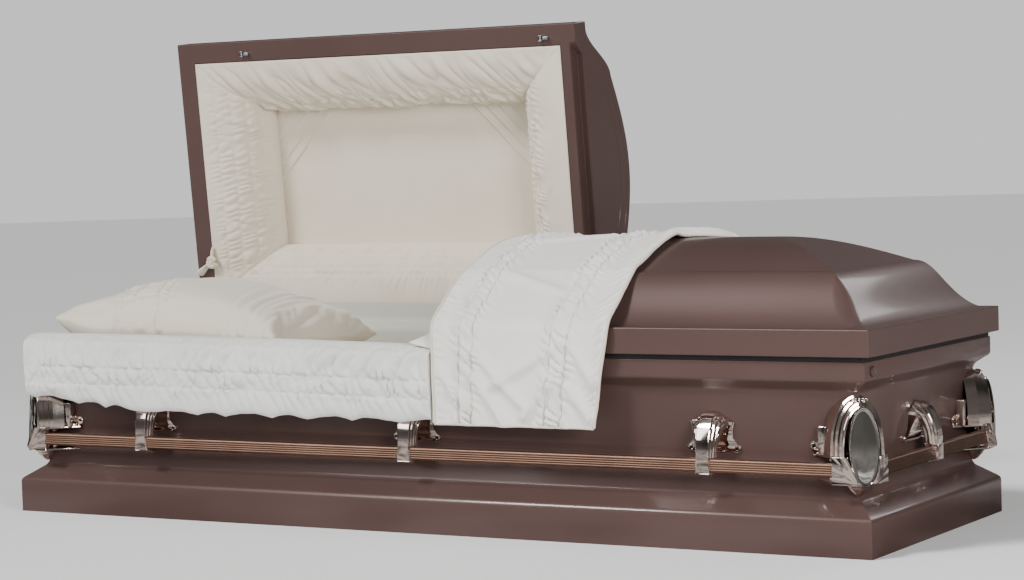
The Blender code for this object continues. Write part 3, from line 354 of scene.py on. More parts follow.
def makeCamera():
    az, el, roll = view["azimuth"], view["elevation"], view["roll"]
    back = Vector((math.sin(az) * math.cos(el), -math.cos(az) * math.cos(el), math.sin(el)))
    right = (-back).cross(Vector((0, 0, 1))).normalized()
    up = right.cross(-back)
    across = right * math.cos(roll) + up * math.sin(roll)
    upright = up * math.cos(roll) - right * math.sin(roll)
    turn = Matrix((across, upright, back)).transposed().to_4x4()
    camera = bpy.data.objects.new("camera", bpy.data.cameras.new("camera"))
    camera.data.lens = view["lens"]
    camera.data.sensor_width = 36
    camera.data.sensor_fit = "HORIZONTAL"
    camera.matrix_world = Matrix.Translation(view["place"]) @ turn
    bpy.context.scene.collection.objects.link(camera)
    bpy.context.scene.camera = camera


studio = {
    "sun": {"from": (-0.95, -1.4, 1.85), "strength": 2.7, "spread": 0.24},
    "key": {"place": (-2.6, -4.2, 2.6), "size": 2.2, "watts": 65},
    "fill": {"place": (4.6, -3.4, 1.9), "size": 1.8, "watts": 250},
    "rim": {"place": (1.8, 3.6, 2.8), "size": 1.2, "watts": 25},
    "aim": (0, 0, 0.4),
    "backdrop": 0.84,
    "room": 0.5,
    "roomTones": ((0.0, 0.9, 0.88, 0.86), (1.0, 0.55, 0.54, 0.53)),
    "wallTones": ((0.495, 0.8), (0.508, 0.22), (0.58, 0.14), (0.82, 0.17), (0.93, 0.42)),
    "patches": {"size": 2.4, "levels": (0.36, 0.64, 0.18, 0.86)},
}


def aimed(light, place):
    light.location = place
    light.rotation_euler = (Vector(studio["aim"]) - Vector(place)).to_track_quat("-Z", "Y").to_euler()
    bpy.context.scene.collection.objects.link(light)


def makeStudio():
    values = studio["sun"]
    sun = bpy.data.lights.new("sun", "SUN")
    sun.energy = values["strength"]
    sun.angle = values["spread"]
    aimed(bpy.data.objects.new("sun", sun), Vector(values["from"]) * 3)
    for name in ("key", "fill", "rim"):
        values = studio[name]
        lamp = bpy.data.lights.new(name, "AREA")
        lamp.shape = "SQUARE"
        lamp.size = values["size"]
        lamp.energy = values["watts"]
        aimed(bpy.data.objects.new(name, lamp), values["place"])
    makeRoom()


def makeRoom():
    # The backdrop is even. What the object mirrors is a room, dark in the middle, with patches of light.
    world = bpy.data.worlds.new("studio")
    world.use_nodes = True
    bpy.context.scene.world = world
    tree = world.node_tree
    tree.nodes.clear()
    backdrop = addNode(tree, "ShaderNodeBackground", Color=(1, 1, 1, 1), Strength=studio["backdrop"])
    room = addNode(tree, "ShaderNodeBackground", Strength=studio["room"])
    coords = addNode(tree, "ShaderNodeTexCoord")
    split = addNode(tree, "ShaderNodeSeparateXYZ")
    ramp = addNode(tree, "ShaderNodeValToRGB")
    for element, (position, *color) in zip(ramp.color_ramp.elements, studio["roomTones"]):
        element.position = position
        element.color = (*color, 1)
    for position, value in studio["wallTones"]:
        ramp.color_ramp.elements.new(position).color = (value, value * 0.97, value * 0.95, 1)
    tone = addNode(tree, "ShaderNodeMapRange", From_Min=-1)
    patches = noiseAt(tree, coords, "Generated", Scale=studio["patches"]["size"], Detail=0.0)
    levels = dict(zip(("From_Min", "From_Max", "To_Min", "To_Max"), studio["patches"]["levels"]))
    level = addNode(tree, "ShaderNodeMapRange", **levels)
    wire(tree, patches, "Fac", level, "Value")
    wire(tree, level, "Result", room, "Strength")
    wire(tree, coords, "Generated", split, "Vector")
    wire(tree, split, "Z", tone, "Value")
    wire(tree, tone, "Result", ramp, "Fac")
    wire(tree, ramp, "Color", room, "Color")
    output = addNode(tree, "ShaderNodeOutputWorld")
    chosen(tree, "Is Camera Ray", room, backdrop, output)


ground = {"radius": 30, "sides": 96, "tone": 0.9, "roughness": 0.9, "patches": 1.9,
          "mirrored": ((0.44, 0.08), (0.57, 0.55))}


def makeFloor():
    bm = bmesh.new()
    bmesh.ops.create_circle(bm, cap_ends=True, segments=ground["sides"], radius=ground["radius"])
    floor = toObject("floor", bm)
    pale, tree, shader, coords = startMaterial("pale floor")
    shader.inputs["Base Color"].default_value = (ground["tone"], ground["tone"], ground["tone"], 1)
    shader.inputs["Roughness"].default_value = ground["roughness"]
    # painted reflection: polished metal sees light and dark patches on the floor in place of its even tone
    mirrored = addNode(tree, "ShaderNodeBsdfDiffuse")
    patches = noiseAt(tree, coords, "Object", Scale=ground["patches"], Detail=1.0)
    tones = addNode(tree, "ShaderNodeValToRGB")
    for element, (position, value) in zip(tones.color_ramp.elements, ground["mirrored"]):
        element.position = position
        element.color = (value, value * 0.96, value * 0.93, 1)
    wire(tree, patches, "Fac", tones, "Fac")
    wire(tree, tones, "Color", mirrored, "Color")
    chosen(tree, "Is Glossy Ray", shader, mirrored, tree.nodes["Material Output"])
    floor.data.materials.append(pale)


# Node helpers and shared effects

def addNode(tree, kind, **values):
    made = tree.nodes.new(kind)
    for key, value in values.items():
        label = key.replace("_", " ")
        if label in made.inputs:
            made.inputs[label].default_value = value
        else:
            setattr(made, key, value)
    return made


def wire(tree, source, output, target, name):
    tree.links.new(source.outputs[output], target.inputs[name])


def noiseAt(tree, source, output, **values):
    made = addNode(tree, "ShaderNodeTexNoise", **values)
    wire(tree, source, output, made, "Vector")
    return made


def chosen(tree, ray, usual, other, output):  # other shows to one kind of ray, usual to the rest
    path = addNode(tree, "ShaderNodeLightPath")
    mix = addNode(tree, "ShaderNodeMixShader")
    wire(tree, path, ray, mix, "Fac")
    wire(tree, usual, 0, mix, 1)
    wire(tree, other, 0, mix, 2)
    wire(tree, mix, 0, output, "Surface")


def newGroup(name, outputs, **inputs):  # reads a vector and some values, and puts out values
    tree = bpy.data.node_groups.new(name, "ShaderNodeTree")
    tree.interface.new_socket("Vector", in_out="INPUT", socket_type="NodeSocketVector")
    for label, value in inputs.items():
        socket = tree.interface.new_socket(label, in_out="INPUT", socket_type="NodeSocketFloat")
        socket.default_value = value
    for label in outputs:
        tree.interface.new_socket(label, in_out="OUTPUT", socket_type="NodeSocketFloat")
    return tree, tree.nodes.new("NodeGroupInput"), tree.nodes.new("NodeGroupOutput")


def crepeGroup():
    # Woven threads with a crepe grain, and slow changes of tone.
    tree, given, out = newGroup("crepe", ("Height", "Tone"), Threads=900.0, Pucker=0.5)
    grain = noiseAt(tree, given, "Vector", Detail=3.0, Roughness=0.6)
    wire(tree, given, "Threads", grain, "Scale")
    puckers = noiseAt(tree, given, "Vector", Scale=140.0, Detail=4.0, Roughness=0.55, Distortion=0.4)
    scaled = addNode(tree, "ShaderNodeMath", operation="MULTIPLY")
    wire(tree, puckers, "Fac", scaled, 0)
    wire(tree, given, "Pucker", scaled, 1)
    total = addNode(tree, "ShaderNodeMath", operation="MULTIPLY_ADD")
    total.inputs[1].default_value = 0.25
    wire(tree, grain, "Fac", total, 0)
    wire(tree, scaled, "Value", total, 2)
    slow = noiseAt(tree, given, "Vector", Scale=5.0, Detail=2.0)
    wire(tree, total, "Value", out, "Height")
    wire(tree, slow, "Fac", out, "Tone")
    return tree


def flakeGroup():
    # Fine metal flake and slow cloudiness under the enamel.
    tree, given, out = newGroup("flake", ("Tone", "Gloss"), Size=1800.0)
    flakes = addNode(tree, "ShaderNodeTexVoronoi")
    wire(tree, given, "Vector", flakes, "Vector")
    wire(tree, given, "Size", flakes, "Scale")
    slow = noiseAt(tree, given, "Vector", Scale=2.2, Detail=3.0)
    smudge = noiseAt(tree, given, "Vector", Scale=26.0, Detail=5.0, Roughness=0.65)
    mixed = addNode(tree, "ShaderNodeMath", operation="MULTIPLY_ADD")
    mixed.inputs[1].default_value = 0.35
    wire(tree, flakes, "Distance", mixed, 0)
    wire(tree, slow, "Fac", mixed, 2)
    wire(tree, mixed, "Value", out, "Tone")
    wire(tree, smudge, "Fac", out, "Gloss")
    return tree


def polishGroup():
    # Buffing haze on plated metal.
    tree, given, out = newGroup("polish", ("Roughness", "Tone"), Haze=0.08, Base=0.08)
    haze = noiseAt(tree, given, "Vector", Scale=60.0, Detail=4.0)
    scaled = addNode(tree, "ShaderNodeMath", operation="MULTIPLY_ADD")
    wire(tree, haze, "Fac", scaled, 0)
    wire(tree, given, "Haze", scaled, 1)
    wire(tree, given, "Base", scaled, 2)
    wire(tree, scaled, "Value", out, "Roughness")
    slow = noiseAt(tree, given, "Vector", Scale=14.0, Detail=2.0)
    wire(tree, slow, "Fac", out, "Tone")
    return tree


def startMaterial(name):
    mat = bpy.data.materials.new(name)
    mat.use_nodes = True
    tree = mat.node_tree
    return mat, tree, tree.nodes["Principled BSDF"], addNode(tree, "ShaderNodeTexCoord")


def placeGroup(tree, group, coords, **values):
    made = tree.nodes.new("ShaderNodeGroup")
    made.node_tree = group
    tree.links.new(coords.outputs["Object"], made.inputs["Vector"])
    for key, value in values.items():
        made.inputs[key].default_value = value
    return made


def blendTone(tree, shader, source, dark, light):
    mix = addNode(tree, "ShaderNodeMix", data_type="RGBA")
    mix.inputs["A"].default_value = (*dark, 1)
    mix.inputs["B"].default_value = (*light, 1)
    tree.links.new(source.outputs["Tone"], mix.inputs["Factor"])
    mixOut = [s for s in mix.outputs if s.name == "Result" and s.type == "RGBA"][0]
    tree.links.new(mixOut, shader.inputs["Base Color"])


paint = {
    "dark": (0.064, 0.035, 0.030),
    "light": (0.104, 0.061, 0.054),
    "flakes": 1800.0,
    "roughness": (0.34, 0.46),
    "shader": {"Metallic": 0.16, "Specular IOR Level": 0.3, "Coat Weight": 0.35, "Coat Roughness": 0.12},
}


def paintMaterial():
    mat, tree, shader, coords = startMaterial("plum paint")
    group = placeGroup(tree, flakeGroup(), coords, Size=paint["flakes"])
    blendTone(tree, shader, group, paint["dark"], paint["light"])
    for label, value in paint["shader"].items():
        shader.inputs[label].default_value = value
    rough = addNode(tree, "ShaderNodeMapRange", To_Min=paint["roughness"][0], To_Max=paint["roughness"][1])
    wire(tree, group, "Gloss", rough, "Value")
    wire(tree, rough, "Result", shader, "Roughness")
    return mat


def platedMaterial(name, polish, dark, light, base, haze, metallic=1.0):  # base is its least roughness
    mat, tree, shader, coords = startMaterial(name)
    group = placeGroup(tree, polish, coords, Base=base, Haze=haze)
    blendTone(tree, shader, group, dark, light)
    shader.inputs["Metallic"].default_value = metallic
    wire(tree, group, "Roughness", shader, "Roughness")
    return mat


cloth = {
    "threads": 900.0,
    "relief": 0.0009,
    "reliefStrength": 0.6,
    "shader": {"Roughness": 0.85, "Sheen Weight": 0.35, "Sheen Roughness": 0.5},
}


def clothMaterial(name, crepe, dark, light, pucker=0.6):
    mat, tree, shader, coords = startMaterial(name)
    group = placeGroup(tree, crepe, coords, Threads=cloth["threads"], Pucker=pucker)
    blendTone(tree, shader, group, dark, light)
    for label, value in cloth["shader"].items():
        shader.inputs[label].default_value = value
    relief = addNode(tree, "ShaderNodeBump", Strength=cloth["reliefStrength"], Distance=cloth["relief"])
    wire(tree, group, "Height", relief, "Height")
    wire(tree, relief, "Normal", shader, "Normal")
    return mat


makeCamera()
makeStudio()
makeFloor()
polish = polishGroup()
crepe = crepeGroup()
plumPaint = paintMaterial()
nickel = platedMaterial("nickel", polish, (0.68, 0.56, 0.51), (0.88, 0.77, 0.71), 0.04, 0.08)
mirrorNickel = platedMaterial("mirror nickel", polish, (0.50, 0.48, 0.45), (0.60, 0.58, 0.55), 0.03, 0.04)
copperBrown = platedMaterial("copper brown", polish, (0.16, 0.092, 0.064), (0.26, 0.155, 0.11), 0.42, 0.12)
zinc = platedMaterial("zinc", polish, (0.40, 0.47, 0.50), (0.60, 0.66, 0.68), 0.28, 0.2)
steel = platedMaterial("steel", polish, (0.28, 0.28, 0.29), (0.42, 0.42, 0.43), 0.38, 0.2)
blackRubber = platedMaterial("black rubber", polish, (0.010, 0.010, 0.011), (0.028, 0.027, 0.027), 0.6, 0.25,
                             metallic=0.0)
darkSteel = platedMaterial("dark steel", polish, (0.02, 0.02, 0.02), (0.05, 0.045, 0.04), 0.35, 0.2)
creamCloth = clothMaterial("cream crepe", crepe, (0.68, 0.60, 0.475), (0.785, 0.715, 0.60))
pillowCloth = clothMaterial("pillow crepe", crepe, (0.68, 0.61, 0.49), (0.76, 0.70, 0.59), pucker=0.3)
whiteCloth = clothMaterial("white crepe", crepe, (0.68, 0.68, 0.63), (0.78, 0.78, 0.745))
warmCloth = clothMaterial("warm white crepe", crepe, (0.76, 0.74, 0.69), (0.86, 0.845, 0.80))
# painted shade: the hinge cover's pale satin is darkened to grey green where it lies in shade
shadeTintedCoverCloth = clothMaterial("grey green crepe with painted shade", crepe, (0.50, 0.51, 0.44), (0.58, 0.59, 0.52), pucker=0.25)
print("camera, studio and materials ready")


# Body shell

baseLow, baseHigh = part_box("base_pan")
halfL, halfW = baseHigh.x, baseHigh.y
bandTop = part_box("body_shell")[1].z

body = {
    "sheet": 0.0012,
    "baseFace": 0.075,
    "slope": (0.045, 0.107),
    "waist": (0.058, 0.182),
    "panelTop": (0.0415, 0.318),
    "bandLow": 0.338,
    "bandInset": 0.0137,
    "flangeInset": 0.050,
    "flangeLip": 0.024,
    "roundings": ((0.075, 0.006), (0.107, 0.006), (0.182, 0.010), (0.318, 0.007), (0.338, 0.004),
                  (0.376, 0.0025)),
    "mitre": 0.003,
    "slotX": (-0.848, -0.003),
    "slotY": (0.0234, 0.0386),
    "slotZ": (-0.004, 0.002),
    "slotMargin": 0.003,
}


def ringedShell(profile):
    # A rectangle pulled up ring by ring; each ring is (inset, height).
    bm = bmesh.new()
    bmesh.ops.create_grid(bm, x_segments=1, y_segments=1, size=1)
    edges = list(bm.edges)
    rings = bm.verts[:]
    for number, (inset, z) in enumerate(profile):
        if number:
            made = bmesh.ops.extrude_edge_only(bm, edges=edges)
            rings, edges = newVerts(made), newEdges(made)
        for v in rings:
            v.co = (math.copysign(halfL - inset, v.co.x), math.copysign(halfW - inset, v.co.y), z)
    return bm


def makeBody():
    inset = body["bandInset"]
    profile = [(0, 0), (0, body["baseFace"]), body["slope"], body["waist"], body["panelTop"],
               (inset, body["bandLow"]), (inset, bandTop), (body["flangeInset"], bandTop),
               (body["flangeInset"], bandTop - body["flangeLip"])]
    bm = outward(ringedShell(profile))
    for height, radius in body["roundings"]:
        outer = [e for e in bm.edges if all(abs(v.co.z - height) < 1e-4 for v in e.verts)
                 and not flangeEdge(e)]
        bevelEdges(bm, outer, radius, 3)
    mitres = [e for e in bm.edges if all(onMitre(v) for v in e.verts)
              and max(v.co.z for v in e.verts) < bandTop - 1e-4]
    bevelEdges(bm, mitres, body["mitre"], 2)
    shell = walled(toObject("bodyShell", bm, 40), body["sheet"])
    baked(shell, 40)
    low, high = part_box("lid_catch_1")
    halfX = (high.x - low.x) / 2 + body["slotMargin"]
    y0, y1 = (inset - halfW for inset in body["slotY"])
    z0, z1 = (bandTop + rise for rise in body["slotZ"])
    for x in body["slotX"]:
        cutBy(shell, box((x - halfX, y0, z0), (x + halfX, y1, z1)))
    finished(shell, plumPaint, "casket_body", "plum_paint", "base_pan", "lower_panel", "body_shell")


def onMitre(v):  # on a line where two sides of the shell meet
    return abs(abs(v.co.x) - halfL - abs(v.co.y) + halfW) < 1e-4


def flangeEdge(e):  # the inner ring of the flange
    far = body["bandInset"] + 0.01
    return all(v.co.z > bandTop - 1e-4 and min(halfL - abs(v.co.x), halfW - abs(v.co.y)) > far
               for v in e.verts)


makeBody()
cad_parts["gasket"].data.materials[0] = blackRubber
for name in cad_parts:
    if name.endswith("_leaf") or name == "bed_frame":
        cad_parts[name].data.materials[0] = steel
print("body ready")


# Lids

lid = {
    "overhang": 0.0015,
    "rimZ": 0.3858,
    "rimHeight": 0.053,
    "ledge": 0.016,
    "rimFace": 0.049,
    "cutRimFace": 0.0405,
    "shoulder": (0.1335, 0.105),
    "crown": 0.060,
    "steps": 28,
    "rebate": {"depth": 0.016, "height": 0.031, "start": 0.044, "slant": 0.031, "reach": 0.02},
    "openAngle": math.radians(84.5),
    "hinge": (0.3525, 0.381),
    "edgeRound": 0.0018,
    "softAngle": 28,
    "hipRadius": 0.034,
    "crownHipRadius": 0.004,
    "hipSteps": 8,
    "lip": 0.008,
    "beads": (0.017, 0.046),
    "beadStart": 0.036,
    "beadRadius": 0.0016,
    "beadSink": 0.0009,
    "crease": 14,
}
lidHalfL = halfL + lid["overhang"]
headCut, footCut = 0.0795, 0.0815
rimZ = lid["rimZ"]


def openedMatrix():
    hinge = Matrix.Translation((0, *lid["hinge"]))
    return hinge @ Matrix.Rotation(-lid["openAngle"], 4, "X") @ hinge.inverted()


def lidProfile():
    ledge, (shoulderIn, shoulderUp) = lid["ledge"], lid["shoulder"]
    points = [(0, 0), (0, lid["rimHeight"]), (ledge, lid["rimHeight"])]
    for i in range(1, lid["steps"] + 1):
        t = i / lid["steps"]
        points.append((lerp(ledge, shoulderIn, t), lid["rimHeight"] + shoulderUp * smooth(t)))
    for i in range(1, lid["steps"] + 1):
        t = i / lid["steps"]
        crown = lid["crown"] * math.sin(math.pi / 2 * t)
        points.append((lerp(shoulderIn, halfW, t), lid["rimHeight"] + shoulderUp + crown))
    return points


def hipArc(x, y, side, height):
    # The rounded corner of one level, from the front face to the end face. The rim's corners stay sharp.
    t = (height - lid["rimHeight"]) / lid["shoulder"][1]
    radius = 0
    if t > 1e-6 or (abs(t) < 1e-6 and y < halfW - lid["ledge"] / 2):
        radius = max(lid["hipRadius"] * math.sin(math.pi * (0.25 + 0.75 * min(t, 1))), lid["crownHipRadius"])
    radius = min(radius, y)
    turns = [math.pi / 2 * i / lid["hipSteps"] for i in range(lid["hipSteps"] + 1)]
    return [(x + side * radius * (1 - math.sin(a)), -y + radius * (1 - math.cos(a))) for a in turns]


def lidSolid(outerX, cutX):
    # A wire around three sides, pulled up level by level, then closed at the bottom and the cut end.
    side = 1 if cutX > outerX else -1
    rows = []
    for inset, height in lidProfile():
        y, z = halfW - inset, rimZ + height
        arc = hipArc(outerX + side * inset, y, side, height)
        front = [(cutX, -y, z)] + [(px, py, z) for px, py in arc]
        rows.append(front + [(px, -py, z) for px, py, z in reversed(front)])
    bm = swept(rows)
    bmesh.ops.remove_doubles(bm, verts=bm.verts, dist=1e-6)
    bottom = [v for v in bm.verts if v.co.z < rimZ + 1e-6]
    bmesh.ops.contextual_create(bm, geom=bottom)
    wall = [e for e in openEdges(bm) if all(abs(v.co.x - cutX) < 1e-6 for v in e.verts)]
    bmesh.ops.contextual_create(bm, geom=wall)
    return outward(bm)


def wallBeads(x):
    # Raised beads that follow the profile on the cut end.
    bm = bmesh.new()
    half = [(halfW - inset, rimZ + height) for inset, height in lidProfile()[3:]]
    outline = [(-y, z) for y, z in half] + [(y, z) for y, z in reversed(half[:-1])]
    for inward in lid["beads"]:
        points = []
        for i, (y, z) in enumerate(outline):
            before, after = outline[max(i - 1, 0)], outline[min(i + 1, len(outline) - 1)]
            run = Vector((after[0] - before[0], after[1] - before[1])).normalized()
            spot = (x, y + run.y * inward, z - run.x * inward)
            if spot[2] > rimZ + lid["beadStart"]:
                points.append(spot)
        addTo(bm, tube(points, [lid["beadRadius"]] * len(points), 8))
    return bm


def openBottom(piece, x0, x1, y1):
    # Cuts the opening inside the rim face.
    bm = copied(piece.data)
    sides = [((x, 0, 0), (1, 0, 0)) for x in (x0, x1)] + [((0, y, 0), (0, 1, 0)) for y in (-y1, y1)]
    for place, normal in sides:
        flat = [f for f in bm.faces if abs(f.normal.z) > 0.99 and f.calc_center_median().z < rimZ + 1e-4]
        around = list({v for f in flat for v in f.verts} | {e for f in flat for e in f.edges} | set(flat))
        bmesh.ops.bisect_plane(bm, geom=around, plane_co=place, plane_no=normal, dist=1e-6)
    inside = []
    for f in bm.faces:
        c = f.calc_center_median()
        if abs(f.normal.z) > 0.99 and c.z < rimZ + 1e-4 and x0 < c.x < x1 and abs(c.y) < y1:
            inside.append(f)
    bmesh.ops.delete(bm, geom=inside, context="FACES")
    stored(bm, piece.data)


def rebateCutter(cutX):
    # A wedge along the foot of the cut end, reaching past the lid below and beyond it.
    r = lid["rebate"]
    startY, topY = halfW - r["start"], halfW - r["start"] - r["slant"]
    lowY = startY + r["reach"] * r["slant"] / r["height"]
    half = [(lowY, rimZ - r["reach"]), (topY, rimZ + r["height"])]
    outline = [(-lowY, rimZ - r["reach"])] + half + [(-topY, rimZ + r["height"])]
    rows = [[(x, y, z) for y, z in outline] for x in (cutX - r["depth"], cutX + r["reach"])]
    return outward(swept(rows, closed=True))


def makeLid(name, outerX, cutX, node, bodyName, head):  # head is true for the lid that stands open
    piece = toObject(name, lidSolid(outerX, cutX))
    side = 1 if cutX > outerX else -1
    if head:
        cutBy(piece, rebateCutter(cutX))
    x0, x1 = sorted((outerX + side * lid["rimFace"], cutX - side * lid["cutRimFace"]))
    openBottom(piece, x0, x1, halfW - lid["rimFace"])
    bm = copied(piece.data)
    bmesh.ops.remove_doubles(bm, verts=bm.verts, dist=1e-6)
    lip = bmesh.ops.extrude_edge_only(bm, edges=openEdges(bm))
    bmesh.ops.translate(bm, verts=newVerts(lip), vec=(0, 0, lid["lip"]))
    stored(softened(outward(bm), lid["softAngle"], lid["edgeRound"]), piece.data)
    piece.data.shade_smooth()
    walled(piece, body["sheet"])
    baked(piece, lid["crease"])
    bm = copied(piece.data)
    addTo(bm, wallBeads(cutX - side * lid["beadSink"]))
    if head:
        turned(bm, openedMatrix())
    stored(bm, piece.data)
    finished(piece, plumPaint, bodyName, "plum_paint", node)


makeLid("headLid", -lidHalfL, headCut, "head_lid_shell", "head_lid", True)
makeLid("footLid", lidHalfL, footCut, "foot_lid_shell", "foot_lid", False)
print("lids ready")


# Handles

bars = {"height": 0.027, "depth": 0.020, "z": 0.168, "grooves": 4, "groove": 0.0007, "corner": 0.0045,
        "end": 0.0504}


def barSection():
    # (out, z) around a bar, out is 0 at its outer face.
    half, r = bars["height"] / 2, bars["corner"]
    back, low, high = -bars["depth"] + r, bars["z"] - half + r, bars["z"] + half - r
    points = arc(back, high, r, 90, 90, 4) + arc(back, low, r, 180, 90, 4) + arc(-r, low, r, 270, 90, 4)
    pitch = (high - low) / bars["grooves"]
    for i in range(bars["grooves"]):
        for share in (0.18, 0.34, 0.5, 0.66, 0.82):
            points.append((-bars["groove"] * math.sin(math.pi * (share - 0.1) / 0.8) ** 2,
                           low + pitch * (i + share)))
        if i < bars["grooves"] - 1:
            points.append((0.0, low + pitch * (i + 1)))
    return points + arc(-r, high, r, 0, 90, 4)


sides = {"front": (180, halfL, halfW), "back": (0, halfL, halfW), "foot": (-90, halfW, halfL),
         "head": (90, halfW, halfL)}


def onSide(name, shift=0.0):  # moves a part that is made at y 0, facing out, to one side of the body
    turn, _, out = sides[name]
    return Matrix.Rotation(math.radians(turn), 4, "Z") @ Matrix.Translation((shift, out, 0))


def makeBars():
    for name, (_, halfRun, _) in sides.items():
        run = halfRun - bars["end"]
        rows = [[(x, out, z) for out, z in barSection()] for x in (-run, run)]
        bar = toObject("bar" + name.capitalize(), turned(swept(rows, closed=True), onSide(name)), 50)
        finished(bar, copperBrown, "casket_body", "copper_brown", "bar_" + name)


arm = {
    "topZ": 0.270,
    "topHalf": 0.0455,
    "claspHalf": 0.016,
    "ribHalf": 0.0225,
    "clasp": 0.0035,
    "plate": 0.0035,
    "earHole": (0.0505, 0.198),
    "earRadius": 0.0085,
    "holeRadius": 0.0036,
    "steps": 18,
    "tabHalf": 0.010,
    "sink": 0.0004,
    "spots": (-0.70, 0.0, 0.70),
}


def shellInset(z):  # how far the shell stands back from the base at a height
    spots = ((0.0, 0.075), body["slope"], body["waist"], body["panelTop"],
             (body["bandInset"], body["bandLow"]))
    for (s0, z0), (s1, z1) in zip(spots, spots[1:]):
        if z0 <= z <= z1:
            return lerp(s0, s1, (z - z0) / (z1 - z0))
    return body["bandInset"]


def armPlate():
    # A flat plate on the shell, with two round ears low down.
    hole, holeZ = arm["earHole"]
    ear, wide, top = arm["earRadius"], arm["topHalf"], arm["topZ"]
    edge = ((0.35, 0.0140), (0.94, 0.0165), (1.06, 0.019), (1.06, 0.023), (0.97, 0.036), (0.94, 0.052))
    half = [(0.0, top - 0.008)] + [(wide * share, top - down) for share, down in edge]
    half += [(hole + ear * 0.10, holeZ + ear * 1.10)] + arc(hole, holeZ, ear, 75, -165, 6)
    half += [(hole - ear * 0.6, holeZ - ear * 1.0), (hole - ear * 1.4, holeZ - ear * 0.6),
             (wide * 0.5, 0.190)]
    outline = half + [(-x, z) for x, z in reversed(half[1:])]
    rows = [[(x, arm["sink"] - shellInset(z) + out, z) for x, z in outline] for out in (0, arm["plate"])]
    bm = outward(swept(rows, closed=True))
    outer = [e for e in sharpEdges(bm, 28.6) if all(abs(v.co.y - plateFace(v.co.z)) < 1e-5 for v in e.verts)]
    bevelEdges(bm, outer, 0.0008, 2)
    return bm


def plateFace(z):
    return arm["sink"] - shellInset(z) + arm["plate"]


def armHood():
    # Nested arches: a broad strap in the middle, and two ribs stepping back on each side.
    startOut, endOut = -shellInset(arm["topZ"]) + 0.002, arm["clasp"] - 0.0002
    topZ, endZ = arm["topZ"], bars["z"] + bars["height"] / 2 + 0.002
    rows = []
    for i in range(arm["steps"] + 1):
        t = i / arm["steps"]
        turn = math.pi / 2 * t
        out = startOut + (endOut - startOut) * math.sin(turn) ** 0.9
        z = endZ + (topZ - endZ) * math.cos(turn) ** 0.9 if i < arm["steps"] else endZ
        normal = Vector((math.sin(turn) * (topZ - endZ), math.cos(turn) * (endOut - startOut))).normalized()
        edge = lerp(arm["ribHalf"], arm["topHalf"], (1 - t) ** 1.3)
        strap = lerp(0.0152, 0.0138, t)
        first, second = lerp(strap, edge, 0.36), lerp(strap, edge, 0.70)
        step = lerp(0.0060, 0.0050, t)
        section = [(edge, -0.007), (edge - 0.0010, -0.0006), (edge - 0.0022, 0.0), (second + 0.0014, 0.0004),
                   (second + 0.0002, step * 0.8), (second - 0.0012, step), (first + 0.0014, step + 0.0003),
                   (first + 0.0002, step * 1.8), (first - 0.0012, step * 2),
                   (strap + 0.0012, step * 2 + 0.0002), (strap + 0.0002, step * 2.8),
                   (strap - 0.0014, step * 3)]
        section += [(0.0, step * 3 + 0.0004)] + [(-x, r) for x, r in reversed(section)]
        rows.append([(x, out + (r - 3 * step) * normal.x, z + (r - 3 * step) * normal.y) for x, r in section])
    return swept(rows, closed=True)


def ringAt(centre, radius, thick=0.0009):  # a small round ring around a screw
    bm = bmesh.new()
    upright = Matrix.Rotation(math.pi / 2, 4, "X")
    bmesh.ops.create_circle(bm, segments=10, radius=thick,
                            matrix=Matrix.Translation((radius, 0, 0)) @ upright)
    fullSpin(bm, bm.verts[:] + bm.edges[:], (0, 0, 0), 24)
    return turned(outward(bm), Matrix.Translation(centre) @ upright)


def armClasp():
    # A faceted plate over the bar, with a wall around it.
    wall, half = arm["clasp"], arm["claspHalf"]
    reach = bars["height"] / 2 + wall
    bm = box((-half, -bars["depth"] - wall, bars["z"] - reach), (half, wall, bars["z"] + reach))
    front = [f for f in bm.faces if f.calc_center_median().y > wall - 1e-5]
    for v in front[0].verts:
        v.co.x *= 0.86 if v.co.z > bars["z"] else 1.0
    bmesh.ops.inset_region(bm, faces=front, thickness=0.0028, depth=-0.0010)
    return softened(bm, 20, 0.0006)


def armTab():
    # The thin foot under the bar, back to the shell.
    z = bars["z"] - bars["height"] / 2 - arm["clasp"] - 0.001
    half = arm["tabHalf"]
    bm = box((-half, -shellInset(z) + 0.0008, z - 0.0015), (half, -bars["depth"] + 0.004, z + 0.0015))
    softened(bm, 30, 0.0008)
    addTo(bm, bead((0, -bars["depth"] - 0.010, z - 0.001), 0.0085, (1.2, 1.0, 0.42)))
    return bm


def makeArms():
    places = [(f"front_{i}", onSide("front", -x)) for i, x in enumerate(arm["spots"], 1)]
    places += [(f"back_{i}", onSide("back", x)) for i, x in enumerate(arm["spots"], 1)]
    places += [(end, onSide(end)) for end in ("foot", "head")]
    bm = armPlate()
    for part in (armHood(), armClasp(), armTab()):
        addTo(bm, outward(part))
    (hole, z), radius = arm["earHole"], arm["holeRadius"]
    y = plateFace(z)
    screws = bmesh.new()
    for x in (-hole, hole):
        addTo(bm, ringAt((x, y, z), radius + 0.0008))
        addTo(screws, rod((x, y - 0.001, z), (x, y + 0.0010, z), radius, 20, radius * 0.8))
    master = stored(bm, bpy.data.meshes.new("arm"))
    allScrews = bmesh.new()
    for name, place in places:
        addTo(allScrews, turned(screws.copy(), place))
        piece = toObject("arm" + name.replace("_", "").capitalize(), turned(copied(master), place), 30,
                         fix=False)
        finished(piece, nickel, "casket_body", "nickel", "arm_" + name)
    screws.free()
    finished(toObject("armScrews", allScrews, 30, fix=False), darkSteel, "casket_body", "black_rubber")
    bpy.data.meshes.remove(master)


makeBars()
makeArms()
print("handles ready")


# Corner castings

